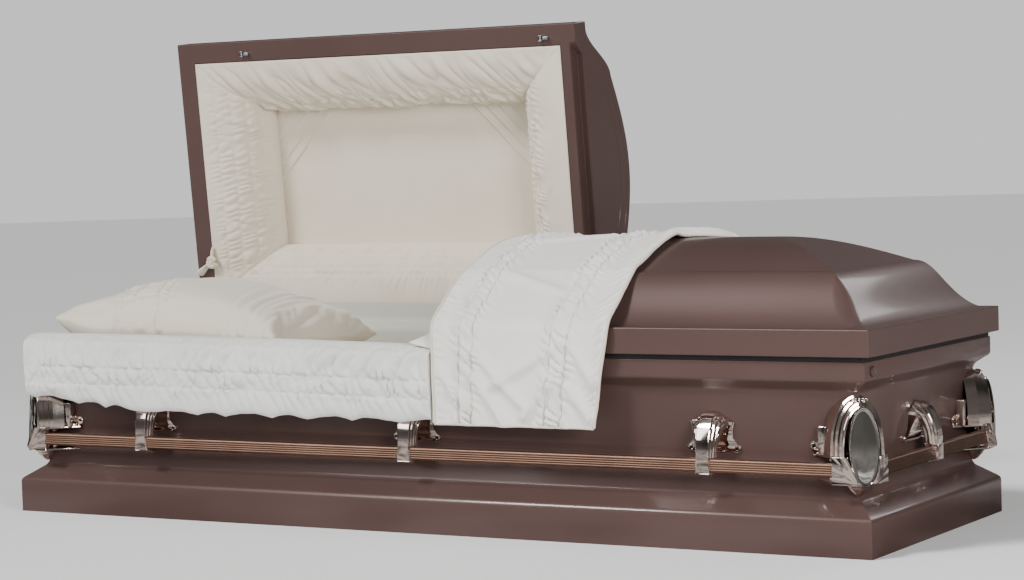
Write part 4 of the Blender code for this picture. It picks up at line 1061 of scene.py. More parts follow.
casting = {
    "reach": 0.080,
    "socketDepth": 0.030,
    "wall": 0.0018,
    "topZ": 0.195,
    "bottomZ": 0.141,
    "arches": ((0.0560, 0.3110, 0.052), (0.0555, 0.3105, 0.046), (0.0515, 0.3060, 0.045),
               (0.0510, 0.3050, 0.038), (0.0465, 0.2995, 0.037), (0.0460, 0.2985, 0.030),
               (0.0420, 0.2935, 0.029), (0.0412, 0.2925, 0.027), (0.0385, 0.2890, 0.0265),
               (0.0375, 0.2880, 0.040), (0.0360, 0.2860, 0.062)),
    "arcSteps": 32,
    "hoodBack": (0.060, 0.070),
    "dropInset": 0.044,
    "dropZ": 0.114,
    "drop": ((0.026, 0), (0.0262, 0.003), (0.0250, 0.006), (0.0222, 0.0095), (0.0212, 0.0098),
             (0.0196, 0.0135), (0.0160, 0.0172), (0.0150, 0.0174), (0.0125, 0.0210), (0.0080, 0.0250)),
    "earReach": 0.139,
    "earRadius": 0.0085,
    "earZ": 0.209,
    "earThick": 0.003,
    "socketScrews": (0.187, 0.151),
    "beads": ((7, 0.0150, 0.0028, 0.3020), (5, 0.0095, 0.0022, 0.2985), (3, 0.0045, 0.0, 0.2955)),
    "medallion": (0.063, 0.152, 0.214, 0.018, 0.007),
    "lean": 0.044,
}


def diagonal(lateral, inset, z):
    # Across the corner: lateral along the 45 degree face, inset back along both sides.
    return Vector((-inset + lateral / math.sqrt(2), inset + lateral / math.sqrt(2), z))


def archRow(half, top, inset):
    low = casting["topZ"] - 0.002
    turns = [math.pi * i / casting["arcSteps"] for i in range(casting["arcSteps"] + 1)]
    return [diagonal(half * math.cos(a), inset, low + (top - low) * math.sin(a) ** 0.85) for a in turns]


def castingHood():
    # Stepped arches, the wall from the outer one back into the shell, and the floor behind the medallion.
    half, top, inset = casting["arches"][0]
    bm = swept([archRow(*arch) for arch in casting["arches"]], capped=False)
    addTo(bm, swept([archRow(half, top, back) for back in (inset, *casting["hoodBack"])], capped=False))
    floor = bmesh.new()
    bmesh.ops.contextual_create(floor, geom=[floor.verts.new(p) for p in archRow(*casting["arches"][-1])])
    addTo(bm, floor)
    return bm


def otherSide(bm):  # mirrored across the corner's diagonal
    turned(bm, Matrix(((0, -1, 0, 0), (-1, 0, 0, 0), (0, 0, 1, 0), (0, 0, 0, 1))))
    bmesh.ops.reverse_faces(bm, faces=bm.faces)
    return bm


def castingBox():
    wall, reach = casting["wall"], casting["reach"]
    depth, start = bars["depth"] + wall, reach - casting["socketDepth"]
    inset, thick = casting["medallion"][3:]
    flat = 2 * (inset + thick / math.sqrt(2) + 0.0003) + wall
    outline = [(-flat, -wall), (-reach, -wall), (-reach, depth), (-start, depth), (-depth, start),
               (-depth, reach), (wall, reach), (wall, flat)]
    rows = [[(x, y, z) for x, y in outline] for z in (casting["bottomZ"], casting["topZ"])]
    return softened(outward(swept(rows, closed=True)), 50, 0.0012)


def castingFan():
    # Folded facets on the socket's face that meet at the medallion's foot.
    reach, low, high = casting["reach"] - 0.0012, casting["bottomZ"] + 0.0015, casting["topZ"] - 0.0015
    foot = Vector((-0.024, low + 0.001))
    rim = [Vector((lerp(-0.046, -reach, i / 4), high)) for i in range(5)]
    rim += [Vector((-reach, lerp(high, low, i / 5))) for i in range(1, 6)]
    rows = []
    for share in (0.0, 0.5, 0.94):
        front = []
        for i, p in enumerate(rim):
            proud = 0.0020 * (1 - share) if i % 2 else 0.0002
            front.append((lerp(p.x, foot.x, share), -casting["wall"] - proud, lerp(p.y, foot.y, share)))
        back = [(x, 0.0, z) for x, _, z in reversed(front)]
        rows.append(front + back)
    return outward(swept(rows, closed=True))


def castingShelves():
    # The two plates above and below the sockets, back to the shell.
    reach, ear = casting["reach"], casting["earReach"] + casting["earRadius"]
    thick, waist = 0.005, body["waist"][0]
    start = reach - casting["socketDepth"]
    outline = [(-reach + thick, 0), (-ear + thick, waist), (-waist, waist), (-waist, ear - thick),
               (0, reach - thick), (0, start), (-start, 0)]
    bm = bmesh.new()
    for z in (casting["topZ"] - thick, casting["bottomZ"]):
        rows = [[(x, y, z + rise) for x, y in outline] for rise in (0, thick)]
        addTo(bm, softened(outward(swept(rows, closed=True)), 50, 0.0012))
    return bm


def castingDrop():
    # A stepped cup that ends in a point, hung below the corner.
    top = casting["bottomZ"] + 0.002
    centre = diagonal(0, casting["dropInset"], 0)
    bm = bmesh.new()
    steps = [(radius, top - down) for radius, down in casting["drop"]]
    steps += [(0.0035, casting["dropZ"] + 0.0012), (0.0, casting["dropZ"])]
    section, wires = chain(bm, [(centre.x + radius, centre.y, z) for radius, z in steps])
    fullSpin(bm, section + wires, centre, 28)
    bmesh.ops.remove_doubles(bm, verts=bm.verts, dist=1e-6)
    return outward(bm)


def earFace():
    return shellInset(casting["earZ"]) - arm["sink"] - casting["earThick"]


def castingEar():
    # A flat ear on the shell with a screw ring, and the upright tab beside it.
    reach, radius, z = casting["earReach"], casting["earRadius"], casting["earZ"]
    lowZ, highZ = casting["topZ"] - 0.005, z + radius
    near = 0.055
    outline = [(-near, lowZ), (-near, highZ), (-reach + 0.010, highZ)] + arc(-reach, z, radius, 90, 150, 6)
    outline.append((-reach - radius + 0.006, lowZ))
    depths = (0, casting["earThick"])
    rows = [[(x, shellInset(height) - arm["sink"] - out, height) for x, height in outline] for out in depths]
    bm = softened(outward(swept(rows, closed=True)), 50, 0.0007)
    addTo(bm, ringAt((-reach, earFace(), z), 0.0046))
    back = shellInset(highZ)
    tab = box((-reach + 0.0150, back - 0.020, lowZ + 0.002), (-reach + 0.0330, back - 0.001, lowZ + 0.060))
    addTo(bm, softened(tab, 50, 0.0035, 4))
    return bm


def castingScrews():
    # Dark screw heads in the two ears.
    bm = bmesh.new()
    z, reach = casting["earZ"], casting["earReach"]
    face = earFace()
    addTo(bm, rod((-reach, face + 0.001, z), (-reach, face - 0.0010, z), 0.0040, 20, 0.0032))
    addTo(bm, rod((-face - 0.001, reach, z), (-face + 0.0010, reach, z), 0.0040, 20, 0.0032))
    return bm


def castingTrim():
    # The bead cluster on top of the arch, and small screw heads beside the sockets.
    bm = bmesh.new()
    for count, span, rise, z in casting["beads"]:
        for i in range(count):
            turn = math.pi * i / (count - 1)
            addTo(bm, bead(diagonal(span * math.cos(turn), 0.0345, z + rise * math.sin(turn)), 0.0027))
    for z in casting["socketScrews"]:
        addTo(bm, rod((-0.0885, 0.022, z), (-0.0885, 0.016, z), 0.0042, 20, 0.0030))
        addTo(bm, rod((-0.022, 0.0885, z), (-0.016, 0.0885, z), 0.0042, 20, 0.0030))
    return bm


def medallionMesh():
    # A raised rim around a slightly domed mirror that leans back a little.
    width, height, z, inset, thick = casting["medallion"]
    depth = thick / math.sqrt(2)
    rings = ((0.0045, 1, 0), (0.0, 0.55, 0), (0.0, 0.20, 0), (0.0006, 0.05, 0), (0.0014, 0, 0),
             (0.0024, 0.05, 0), (0.0028, 0.30, 0.4), (0.0045, 0.30, 1), (0.0095, 0.28, 1), (0.0160, 0.26, 1),
             (0.0230, 0.25, 1), (0.0300, 0.24, 1))
    rows = []
    for cut, back, dome in rings:  # in from the edge, share of the depth, and how much of the mirror's dome
        row = []
        for i in range(72):
            turn = 2 * math.pi * i / 72
            up = (height / 2 - cut) * math.sin(turn)
            away = inset + depth * back + casting["lean"] * up + dome * 0.0006 * ((up + 0.025) / 0.076) ** 2
            row.append(diagonal((width / 2 - cut) * math.cos(turn), away, z + up))
        rows.append(row)
    return swept(rows, closed=True)


def makeCorners():
    bm = castingHood()
    for part in (castingBox(), castingFan(), otherSide(castingFan()), castingShelves(), castingDrop(),
                 castingEar(), otherSide(castingEar()), castingTrim()):
        addTo(bm, part)
    oval = stored(outward(medallionMesh()), bpy.data.meshes.new("medallion"))
    kinds = {"corner": (stored(bm, bpy.data.meshes.new("casting")), nickel, "nickel"),
             "medallion": (oval, mirrorNickel, "mirror_nickel")}
    allScrews = bmesh.new()
    spots = (("front_foot", 1, -1), ("back_foot", 1, 1), ("back_head", -1, 1), ("front_head", -1, -1))
    for number, (name, sx, sy) in enumerate(spots):
        turn = Matrix.Rotation(math.radians(90 * number), 4, "Z")
        place = Matrix.Translation((sx * halfL, sy * halfW, 0)) @ turn
        label = "".join(word.capitalize() for word in name.split("_"))
        addTo(allScrews, turned(castingScrews(), place))
        for kind, (mesh, mat, slotName) in kinds.items():
            piece = toObject(kind + label, turned(copied(mesh), place), 30, fix=False)
            finished(piece, mat, "casket_body", slotName, f"{kind}_{name}")
    for mesh, _, _ in kinds.values():
        bpy.data.meshes.remove(mesh)
    finished(toObject("cornerScrews", allScrews, 30, fix=False), darkSteel, "casket_body", "black_rubber")


def makePlug():
    low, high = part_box("end_plug")
    middle, radius = (low + high) / 2, (high.z - low.z) / 2
    bm = rod((low.x, middle.y, middle.z), (high.x, middle.y, middle.z), radius, 32)
    outer = [f for f in bm.faces if f.normal.x > 0.9]
    bmesh.ops.inset_region(bm, faces=outer, thickness=0.003, depth=0.0)
    inner = [f for f in bm.faces if f.normal.x > 0.9 and f.calc_area() > 1e-4]
    bmesh.ops.inset_region(bm, faces=inner, thickness=0.0008, depth=-0.0015)
    finished(toObject("endPlug", softened(bm, 50, 0.0007), 40), plumPaint, "casket_body", "plum_paint",
             "end_plug")


makeCorners()
makePlug()
print("corners ready")


# Catches

catch = {"y": 0.0275, "x": (-0.851, -0.003), "gap": 0.0060, "length": 0.0125,
         "block": (0.0065, 0.0040, 0.0085)}


def makeCatches():
    for number, x in enumerate(catch["x"], 1):
        y, top = -halfW + catch["y"] + 0.0035, rimZ - 0.0003
        pinX, blockX, low = x - 0.0060, x + 0.0075, top - catch["length"]
        bm = rod((pinX, y - catch["gap"], top - 0.006), (pinX, y + catch["gap"], top - 0.006), 0.0016, 16)
        for cheekY in (y - catch["gap"], y + catch["gap"]):
            cheek = box((pinX - 0.0042, cheekY - 0.0009, low + 0.003), (pinX + 0.0042, cheekY + 0.0009, top))
            addTo(bm, softened(cheek, 50, 0.0006))
        halfX, halfY, deep = catch["block"]
        stud = box((blockX - halfX, y - halfY, top - deep), (blockX + halfX, y + halfY, top))
        addTo(bm, softened(stud, 50, 0.001))
        addTo(bm, rod((blockX, y, low + 0.0006), (blockX, y, top - deep + 0.001), 0.0022, 20, 0.0030))
        turned(bm, openedMatrix())
        finished(toObject(f"lidCatch{number}", bm, 40, fix=False), zinc, "head_lid", "zinc",
                 f"lid_catch_{number}")


makeCatches()
print("catches ready")


# Head lid lining

lining = {
    "depth": 0.120,
    "margins": {"front": 0.121, "hinge": 0.128, "head": 0.143, "cut": 0.146},
    "start": 0.0012,
    "cell": 0.0028,
    "rows": 72,
    "arc": 0.19,
    "stitches": {"front": (0.096, 0.122, 0.147), "hinge": (0.062, 0.080, 0.098, 0.124),
                 "head": (0.034, 0.068, 0.102, 0.136), "cut": (0.080, 0.104, 0.128)},
    "pleatLegs": (0.087, 0.121, 0.156, 0.190),
    "pleatRise": 0.0034,
    "pleatWidth": 0.030,
    "tuck": 0.02,
}
openX0, openX1 = -lidHalfL + lid["rimFace"] + 0.0012, headCut - lid["cutRimFace"] - 0.0012
openY = halfW - lid["rimFace"] - 0.0012


def rollProfile(t):  # share of the margin and depth at a share of the arc, with a small overhang at the end
    turn = math.pi / 2 * min(1.0, t / 0.93)
    share = math.sin(turn) ** 0.92 + 0.06 * bump(t, 0.84, 0.22)
    depth = lining["depth"] - (lining["depth"] - lining["start"]) * math.cos(turn)
    if t > 0.93:
        share -= 0.09 * (t - 0.93) / 0.07
        depth = lining["depth"] + 0.0006
    return share, depth


def frontGather(s, t):  # long loose folds by the rim, then short slanted puffs down to the bulge
    down = t * 0.19
    loose = ripple(s, down, 0.95, 0.030, 0.13, 3.1) * 0.0100 * bump(t, 0.27, 0.36)
    puffs = dashes(s, down, 0.80, 0.0135, 0.036, 7.7) * 0.0108 * bump(t, 0.68, 0.36)
    pull = -0.0016 * sum(math.exp(-((down - row) / 0.0035) ** 2) for row in lining["stitches"]["front"])
    return loose + puffs + pull + wave(s / 0.10, t * 2.0, 5.0) * 0.005 * bump(t, 0.88, 0.3)


def hingeGather(s, t):  # rows of short upright puckers on the crown, smooth cloth by the rim
    down, rows = t * 0.19, lining["stitches"]["hinge"]
    puckers = shirred(s, down, rows, 0.0165, 2.0, slant=-0.25, reach=0.026, floor=0.35) * 0.0050
    return puckers + gather(s / 0.075, t * 1.2, 9.0) * 0.0028 * bump(t, 0.2, 0.24)


def headGather(s, t):  # three rows of short puckers across the middle
    down, rows = t * 0.2, lining["stitches"]["head"]
    puckers = shirred(s, down, rows, 0.0155, 4.4, slant=0.35, reach=0.018, floor=0.3) * 0.0054
    return puckers + ripple(s, down, 1.3, 0.020, 0.05, 6.1) * 0.0028 * bump(t, 0.45, 0.45)


def cutGather(s, t):  # fine puckers on the inner half, larger folds to the rim
    down, rows = t * 0.2, lining["stitches"]["cut"]
    puckers = shirred(s, down, rows, 0.0160, 8.8, slant=0.5, reach=0.018) * 0.0070
    return puckers + ripple(s, down, 0.7, 0.040, 0.10, 3.3) * 0.0050 * bump(t, 0.30, 0.28)


def makeRoll(name, side, pleats):
    m = lining["margins"]
    alongX = side in ("front", "hinge")
    length = (openX1 - openX0) if alongX else 2 * openY

    def base(u, t):
        share, depth = rollProfile(t)
        x0, x1 = openX0 + m["head"] * share, openX1 - m["cut"] * share
        y0, y1 = -openY + m["front"] * share, openY - m["hinge"] * share
        z = rimZ + depth
        if side == "front":
            return Vector((lerp(x0, x1, u), y0, z))
        if side == "hinge":
            return Vector((lerp(x0, x1, u), y1, z))
        if side == "head":
            return Vector((x0, lerp(y0, y1, u), z))
        return Vector((x1, lerp(y0, y1, u), z))

    inward = {"front": Vector((0, -1)), "hinge": Vector((0, 1)), "head": Vector((-1, 0)),
              "cut": Vector((1, 0))}[side]

    def place(u, t):
        spot = base(u, t)
        share0, depth0 = rollProfile(max(0.0, t - 0.02))
        share1, depth1 = rollProfile(min(1.0, t + 0.02))
        run = Vector((share1 - share0, (depth1 - depth0) / m[side])).normalized()
        normal = Vector((-inward.x * run.y, -inward.y * run.y, -run.x)).normalized()
        s = spot.x if alongX else spot.y
        edge = smooth(min(u, 1 - u) * length / 0.020)
        rise = pleats(s, t) * (0.25 + 0.75 * edge) * smooth(t / 0.06) * smooth((1 - t) / 0.05)
        return spot + normal * rise

    bm = clothGrid(int(length / lining["cell"]), lining["rows"], place, (length, lining["arc"]))
    piece = toObject(name, turned(bm, openedMatrix()), 60)
    wallSkin(piece)
    finished(piece, creamCloth, "head_lid", "cream_cloth")
    return piece


def wallSkin(piece, thickness=0.0012):  # a thin cloth wall behind the seen face
    stored(outward(copied(piece.data)), piece.data)
    walled(piece, thickness, even=False)


def pleatRise(x, y, x0, x1, y0):
    # Tucks across both front corners of the panel.
    rise = 0.0
    for corner, way in ((x0, 1), (x1, -1)):
        reach = way * (x - corner) + (y - y0)
        for leg in lining["pleatLegs"]:
            gap = leg - reach
            if 0 <= gap < lining["pleatWidth"]:
                rise = max(rise, lining["pleatRise"] * (1 - gap / lining["pleatWidth"]))
    return rise


def makePanel():
    m, tuck = lining["margins"], lining["tuck"]
    x0, x1 = openX0 + m["head"] - tuck, openX1 - m["cut"] + tuck
    y0, y1 = -openY + m["front"] - tuck, openY - m["hinge"] + tuck

    def place(u, v):
        x, y = lerp(x0, x1, u), lerp(y0, y1, v)
        slack = wave(x / 0.25, y / 0.25, 1.5) * 0.0012
        tucks = pleatRise(x, y, x0 + tuck, x1 - tuck, y0 + tuck)
        return (x, y, rimZ + lining["depth"] + 0.0035 - tucks - slack)

    bm = clothGrid(300, 150, place, (x1 - x0, y1 - y0))
    piece = toObject("lidPanel", turned(bm, openedMatrix()), 25)
    wallSkin(piece)
    finished(piece, creamCloth, "head_lid", "cream_cloth", "head_lid_panel")


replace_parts(makeRoll("lidRollFront", "front", frontGather), "head_lid_rolls")
makeRoll("lidRollHinge", "hinge", hingeGather)
makeRoll("lidRollHead", "head", headGather)
makeRoll("lidRollCut", "cut", cutGather)
makePanel()
print("lid lining ready")


# Foot lid lining

footLining = {"depth": 0.039, "margin": 0.075, "cell": 0.006}


def makeFootLining():
    x0, x1 = footCut + lid["cutRimFace"] + 0.0006, lidHalfL - lid["rimFace"] - 0.0006
    y1 = openY
    margin, deep = footLining["margin"], footLining["depth"]

    def place(u, v):
        x, y = lerp(x0, x1, u), lerp(-y1, y1, v)
        near = min(x - x0, x1 - x, y + y1, y1 - y)
        depth = deep * smooth(near / margin) if near < margin else deep
        crinkle = gather((x + y) / 0.02, (x - y) / 0.05, 2.2) * 0.0022
        crinkle *= bump(near, margin * 0.5, margin * 0.5)
        return (x, y, rimZ + 0.0012 + depth - crinkle)

    bm = clothGrid(int((x1 - x0) / footLining["cell"]), int(2 * y1 / footLining["cell"]), place,
                   (x1 - x0, 2 * y1))
    piece = toObject("footLidLining", bm, 60)
    wallSkin(piece)
    finished(piece, creamCloth, "foot_lid", "cream_cloth", "foot_lid_lining")


makeFootLining()
print("foot lid lining ready")


# Inside of the body

inside = {"lining": 0.066, "floor": 0.100, "flatTop": 0.2703, "headTop": 0.3253, "slopeEnd": -0.05,
          "slopeLength": 0.29}


def makeBodyLining():
    # Shirred cloth around the inner walls, from the flange lip down.
    x1, y1 = halfL - inside["lining"], halfW - inside["lining"]
    lip = body["flangeInset"] + 0.0007
    stations = [(lip + 0.0052, bandTop - 0.001), (lip + 0.010, bandTop - 0.012)]
    stations += [(inside["lining"], z) for z in (bandTop - 0.032, 0.25, inside["floor"])]
    route = rounded(stations, 0.012)
    loop = 4 * (x1 + y1)

    def place(u, v):
        spot, run = along(route, v)
        s = u * loop
        rise = gather(s / 0.022, v * 3, 8.0) * 0.0028 * smooth(v / 0.08) * smooth((1 - v) / 0.2)
        inset = spot[0] - rise * run[1]
        farX, farY = halfL - inset, halfW - inset
        walls = ((2 * x1, (-1, -1), (1, 0)), (2 * y1, (1, -1), (0, 1)), (2 * x1, (1, 1), (-1, 0)),
                 (2 * y1, (-1, 1), (0, -1)))
        for wallLength, start, way in walls:
            if s <= wallLength + 1e-9:
                t = s / wallLength
                x, y = start[0] * farX, start[1] * farY
                return (lerp(x, x + way[0] * 2 * farX, t), lerp(y, y + way[1] * 2 * farY, t), spot[1])
            s -= wallLength
        return (-farX, -farY, spot[1])

    bm = clothGrid(760, 26, place, (loop, 0.28))
    piece = toObject("bodyLining", bm, 60)
    wallSkin(piece, 0.001)
    finished(piece, creamCloth, "casket_body", "cream_cloth", "body_lining")
    routeLength(route)


def makeMattress():
    low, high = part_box("mattress")
    bm = bmesh.new()
    bmesh.ops.create_cube(bm, size=1)
    for axis, cuts in enumerate((79, 25, 5)):
        edges = [e for e in bm.edges if abs((e.verts[0].co - e.verts[1].co)[axis]) > 0.5]
        bmesh.ops.subdivide_edges(bm, edges=edges, cuts=cuts, use_grid_fill=True)
    for v in bm.verts:
        x = lerp(low.x, high.x, v.co.x + 0.5)
        y = lerp(low.y, high.y, v.co.y + 0.5)
        near = min(x - low.x, high.x - x, y - low.y, high.y - y)
        raised = smooth((inside["slopeEnd"] - x) / inside["slopeLength"])
        top = inside["flatTop"] + (inside["headTop"] - inside["flatTop"]) * raised
        top -= 0.016 * (1 - smooth(near / 0.035))
        top += 0.0015 * wave(x / 0.05, y / 0.05, 3.0) - 0.0015
        v.co = (x, y, lerp(low.z, top, v.co.z + 0.5))
    piece = finished(toObject("mattressPad", bm, 60), pillowCloth, "casket_body", "cream_cloth", "mattress")


makeBodyLining()
makeMattress()
print("body inside ready")


# Hinge cover

cover = {"thick": 0.002, "topZ": 0.438, "dropZ": 0.335}


def makeHingeCover():
    low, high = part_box("hinge_cover")
    flangeY = halfW - body["flangeInset"]
    liningY = halfW - inside["lining"]
    over = rimZ + 0.0026
    route = rounded([(halfW - 0.0023, cover["topZ"]), (halfW - 0.002, over + 0.010), (halfW - 0.010, over),
                     (flangeY, over), (liningY - 0.002, over - 0.008), (liningY - 0.004, cover["dropZ"])],
                    0.010)

    def place(u, v):
        x = lerp(low.x + 0.001, high.x - 0.001, u)
        spot = along(route, v)[0]
        rise = wave(x / 0.16, v * 1.4, 4.0) * 0.0014 * math.sin(math.pi * v)
        return (x, spot[0] - abs(rise) * 0.5, spot[1] + rise * 0.4)

    bm = clothGrid(170, 44, place, (high.x - low.x, routeLength(route)))
    piece = toObject("hingeCover", bm, 60)
    wallSkin(piece, cover["thick"])
    baked(piece, 60)
    # the cover's grey green tone is painted shade on pale satin
    finished(piece, shadeTintedCoverCloth, None, "grey_green_cloth", "hinge_cover")
    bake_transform(piece)
    routeLength(route)


makeHingeCover()
print("hinge cover ready")


# Extendover: the flap over the front rim

flap = {
    "x": (-1.020, 0.077),
    "tops": (0.4095, 0.4030, 0.3945),
    "hem": (0.272, 0.240),
    "out": 0.019,
    "thick": 0.017,
    "rows": (0.070, 0.110),
    "scallop": 0.112,
    "cell": 0.0027,
    "around": 96,
}


def flapTop(x):
    x0, x1 = flap["x"]
    share = (x - x0) / (x1 - x0)
    low, middle, high = flap["tops"]
    return lerp(low, middle, share / 0.6) if share < 0.6 else lerp(middle, high, (share - 0.6) / 0.4)


def flapSection(x):
    x0, x1 = flap["x"]
    hem = lerp(flap["hem"][0], flap["hem"][1], min(1.0, 3 * (x - x0) / (x1 - x0)))
    scallop = abs(math.sin(math.pi * x / flap["scallop"] + 2.2 * wave(x / 0.16, 0.0, 2.0)))
    hem += 0.008 * scallop - 0.005 + 0.002 * wave(x / 0.03, 0.0, 3.0)
    liningY = -(halfW - inside["lining"]) + 0.0006
    bandY = -(halfW - body["bandInset"]) - 0.0006
    outY = -halfW - flap["out"]
    over, quarter, top = rimZ + 0.0006, flap["thick"] / 4, flapTop(x)
    tuck = over - 0.044 * smooth((x + 0.985) / 0.01)
    outer = [(liningY + 2 * quarter, tuck), (liningY + 2.5 * quarter, over),
             (liningY + 1.5 * quarter, top - 0.005), (liningY - 2 * quarter, top),
             (-halfW + 0.020, top + 0.001), (bandY - 2.5 * quarter, top - 0.001),
             (outY + 1.2 * quarter, top - 0.010), (outY, rimZ - 0.008), (outY - 0.0005, body["bandLow"]),
             (outY + quarter * 0.4, lerp(body["bandLow"], hem, 0.5)), (outY + quarter, hem + 0.006),
             (outY + 2.6 * quarter, hem)]
    inner = [(bandY - 2.0 * quarter, hem + 0.004), (bandY - 1.5 * quarter, hem + 0.02),
             (bandY, body["bandLow"]), (bandY, over), (liningY, over), (liningY, tuck)]
    return outer, inner, hem


def flapRise(x, y, z, hem):
    # Loose slanted folds in the upper part, two rows of stitches with puckers, and a full hem.
    top = flapTop(x)
    down = top - z if y < -halfW else 0.0
    outside = smooth((-halfW + 0.02 - y) / 0.02)
    loose = ripple(x, down, 2.0, 0.036, 0.14, 1.7) * 0.0115 * bump(down, 0.036, 0.048) * outside
    edge = ripple(x, -y - down, 2.1, 0.0100, 0.032, 5.1) * 0.0042 * bump(-y - halfW, 0.002, 0.024)
    edge *= smooth((0.035 - down) / 0.02)
    puckers = shirred(x, down, flap["rows"], 0.0270, 6.6, slant=-0.45, reach=0.028,
                      floor=0.45) * 0.0100 * outside
    small = dashes(x, down, 2.2, 0.0120, 0.028, 2.6) * 0.0036 * bump(down, 0.092, 0.052) * outside
    full = 0.0045 * bump(down, top - hem - 0.018, 0.03) * outside
    return loose + edge + puckers + small + full - 0.0045 * outside


def flapTail(x1):
    # The end of the flap that runs on under the throw.
    def place(u, v):
        y = -0.3455 - 0.001 * wave(u * 3, v * 2, 1.0)
        return (lerp(x1 - 0.004, x1 + 0.052, u), y, lerp(flap["hem"][1] - 0.008, 0.372, v))

    bm = clothGrid(14, 30, place, (0.056, 0.14))
    bmesh.ops.solidify(bm, geom=bm.faces[:] + bm.edges[:] + bm.verts[:], thickness=0.002)
    return bm


def makeFlap():
    x0, x1 = flap["x"]
    columns, around = int((x1 - x0) / flap["cell"]), flap["around"]
    rows = []
    for i in range(columns + 1):
        x = lerp(x0, x1, i / columns)
        outer, inner, hem = flapSection(x)
        route = rounded(outer, 0.012)
        end = smooth(min(i, columns - i) * flap["cell"] / 0.012)
        row = []
        for j in range(around + 1):
            share = j / around
            spot, run = along(route, share)
            fade = smooth(share / 0.12) * smooth((1 - share) / 0.05)
            rise = flapRise(x, spot[0], spot[1], hem) * fade * (0.3 + 0.7 * end) - 0.003 * (1 - end) * fade
            row.append((x, spot[0] + run[1] * rise, spot[1] - run[0] * rise))
        row += [(x, y, z) for y, z in inner]
        rows.append(row)
    bm = swept(rows, closed=True)
    addTo(bm, flapTail(x1))
    piece = toObject("frontFlap", bm, 60)
    finished(piece, whiteCloth, "casket_body", "white_cloth", "extendover")
    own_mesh(piece)


makeFlap()
print("extendover ready")


# Throw over the foot lid

throw = {
    "left": 0.004,
    "width": 0.415,
    "taper": 0.035,
    "hemZ": 0.235,
    "backY": 0.100,
    "gap": 0.0035,
    "thick": 0.0022,
    "bands": ((0.062, 0.097), (0.283, 0.324)),
    "folds": (((0.100, 0.150), (0.225, 0.045)), ((0.285, 0.155), (0.150, 0.080)),
              ((0.105, 0.095), (0.190, 0.000)), ((0.330, 0.170), (0.395, 0.095)),
              ((0.335, 0.080), (0.400, 0.020)), ((0.110, 0.360), (0.270, 0.300)),
              ((0.100, 0.520), (0.260, 0.560)), ((0.020, 0.110), (0.055, 0.060)),
              ((0.295, 0.090), (0.235, 0.020))),
    "spread": 0.085,
    "piping": 0.0027,
    "cell": 0.0026,
}


def throwRoute():
    crown = [(halfW - inset, rimZ + height) for inset, height in lidProfile()[2 + lid["steps"] - 1:]]
    points = [(-halfW, throw["hemZ"]), (-halfW, rimZ + lid["rimHeight"])]
    points += [(-y, z) for y, z in crown]
    points += [(y, z) for y, z in reversed(crown[:-1]) if y < throw["backY"]]
    gap = throw["gap"]
    moved = []
    for i, (y, z) in enumerate(points):
        before, after = points[max(i - 1, 0)], points[min(i + 1, len(points) - 1)]
        way = Vector((y - before[0], z - before[1])).normalized()
        way = (way + Vector((after[0] - y, after[1] - z)).normalized()).normalized()
        moved.append((y - way.y * gap, z + way.x * gap))
    moved[1] = (-halfW - gap, rimZ + lid["rimHeight"] + gap)
    return rounded(moved, 0.016)


def throwRise(s, w, hang):
    # s metres across, w metres up from the front hem, hang 1 where the cloth hangs free
    soft = wave((s + w * 0.7) / 0.11, (s - w) / 0.20, 2.0) * 0.0020
    rise = 0.0
    for number, (a, b) in enumerate(throw["bands"]):
        rise += shirred(w, s, (a, b), 0.0230, 4.0 + number, slant=0.7, reach=0.019) * (0.0080 + 0.0050 * hang)
        rise += shirred(w, s, (a, b), 0.0115, 6.0 + number, slant=1.0, reach=0.008) * 0.0036
        rise -= 0.0016 * (math.exp(-((s - a) / 0.003) ** 2) + math.exp(-((s - b) / 0.003) ** 2))
    width = throw["width"]
    rim = 0.3 + 0.7 * smooth(min(s, width - s) / 0.012)
    rise += shirred(w, s, (0.004,), 0.0210, 9.0, slant=0.3, reach=0.018) * 0.0060 * rim
    rise += shirred(w, s, (width - 0.006,), 0.0230, 12.0, slant=-0.8, reach=0.032) * 0.0066 * rim
    folds = sum(fold(s, w, a, b, 0.012) for a, b in throw["folds"]) * 0.0145
    front = wave(s / 0.07, w * 4, 7.0) * 0.006 * smooth(1 - w / 0.12)
    return soft + rise + folds * (0.5 + 0.5 * hang) + front + 0.0028


def makeThrow():
    route = throwRoute()
    length = routeLength(route)
    top = rimZ + lid["rimHeight"]
    left = footCut + throw["left"]

    def place(u, v):
        spot, run = along(route, v)
        drop = max(0.0, min(1.0, (top - spot[1]) / (top - throw["hemZ"]))) if spot[0] < 0 else 0.0
        width = throw["width"] - throw["taper"] * drop
        x = left + width * u + 0.0025 * wave(v * 9, u * 2, 3.0)
        x += throw["spread"] * u * smooth((v - 0.83) / 0.17)
        nearLeft, nearRight = smooth(1 - u * width / 0.03), smooth(1 - (1 - u) * width / 0.03)
        flat = smooth((v - 0.42) / 0.12)  # on the crown the left hem lies close to the lid
        back = smooth((v - 0.79) / 0.06)  # beyond the ridge the right hem is rolled down on the lid
        proud = 0.006 * (nearLeft * (1 - flat) + nearRight * (1 - back)) + 0.012 * back * bump(u, 0.93, 0.07)
        calm = (1 - 0.85 * nearLeft * flat) * (1 - 0.9 * nearRight * back)
        rise = throwRise(throw["width"] * u, length * v, drop) * calm + proud
        return (x, spot[0] - run[1] * rise, spot[1] + run[0] * rise)

    bm = clothGrid(int(throw["width"] / throw["cell"]), int(length / throw["cell"]), place,
                   (throw["width"], length))
    piece = toObject("throwCloth", bm, 60)
    wallSkin(piece, throw["thick"])
    finished(piece, warmCloth, "foot_lid", "white_cloth", "throw")
    hems = throwHems(place)


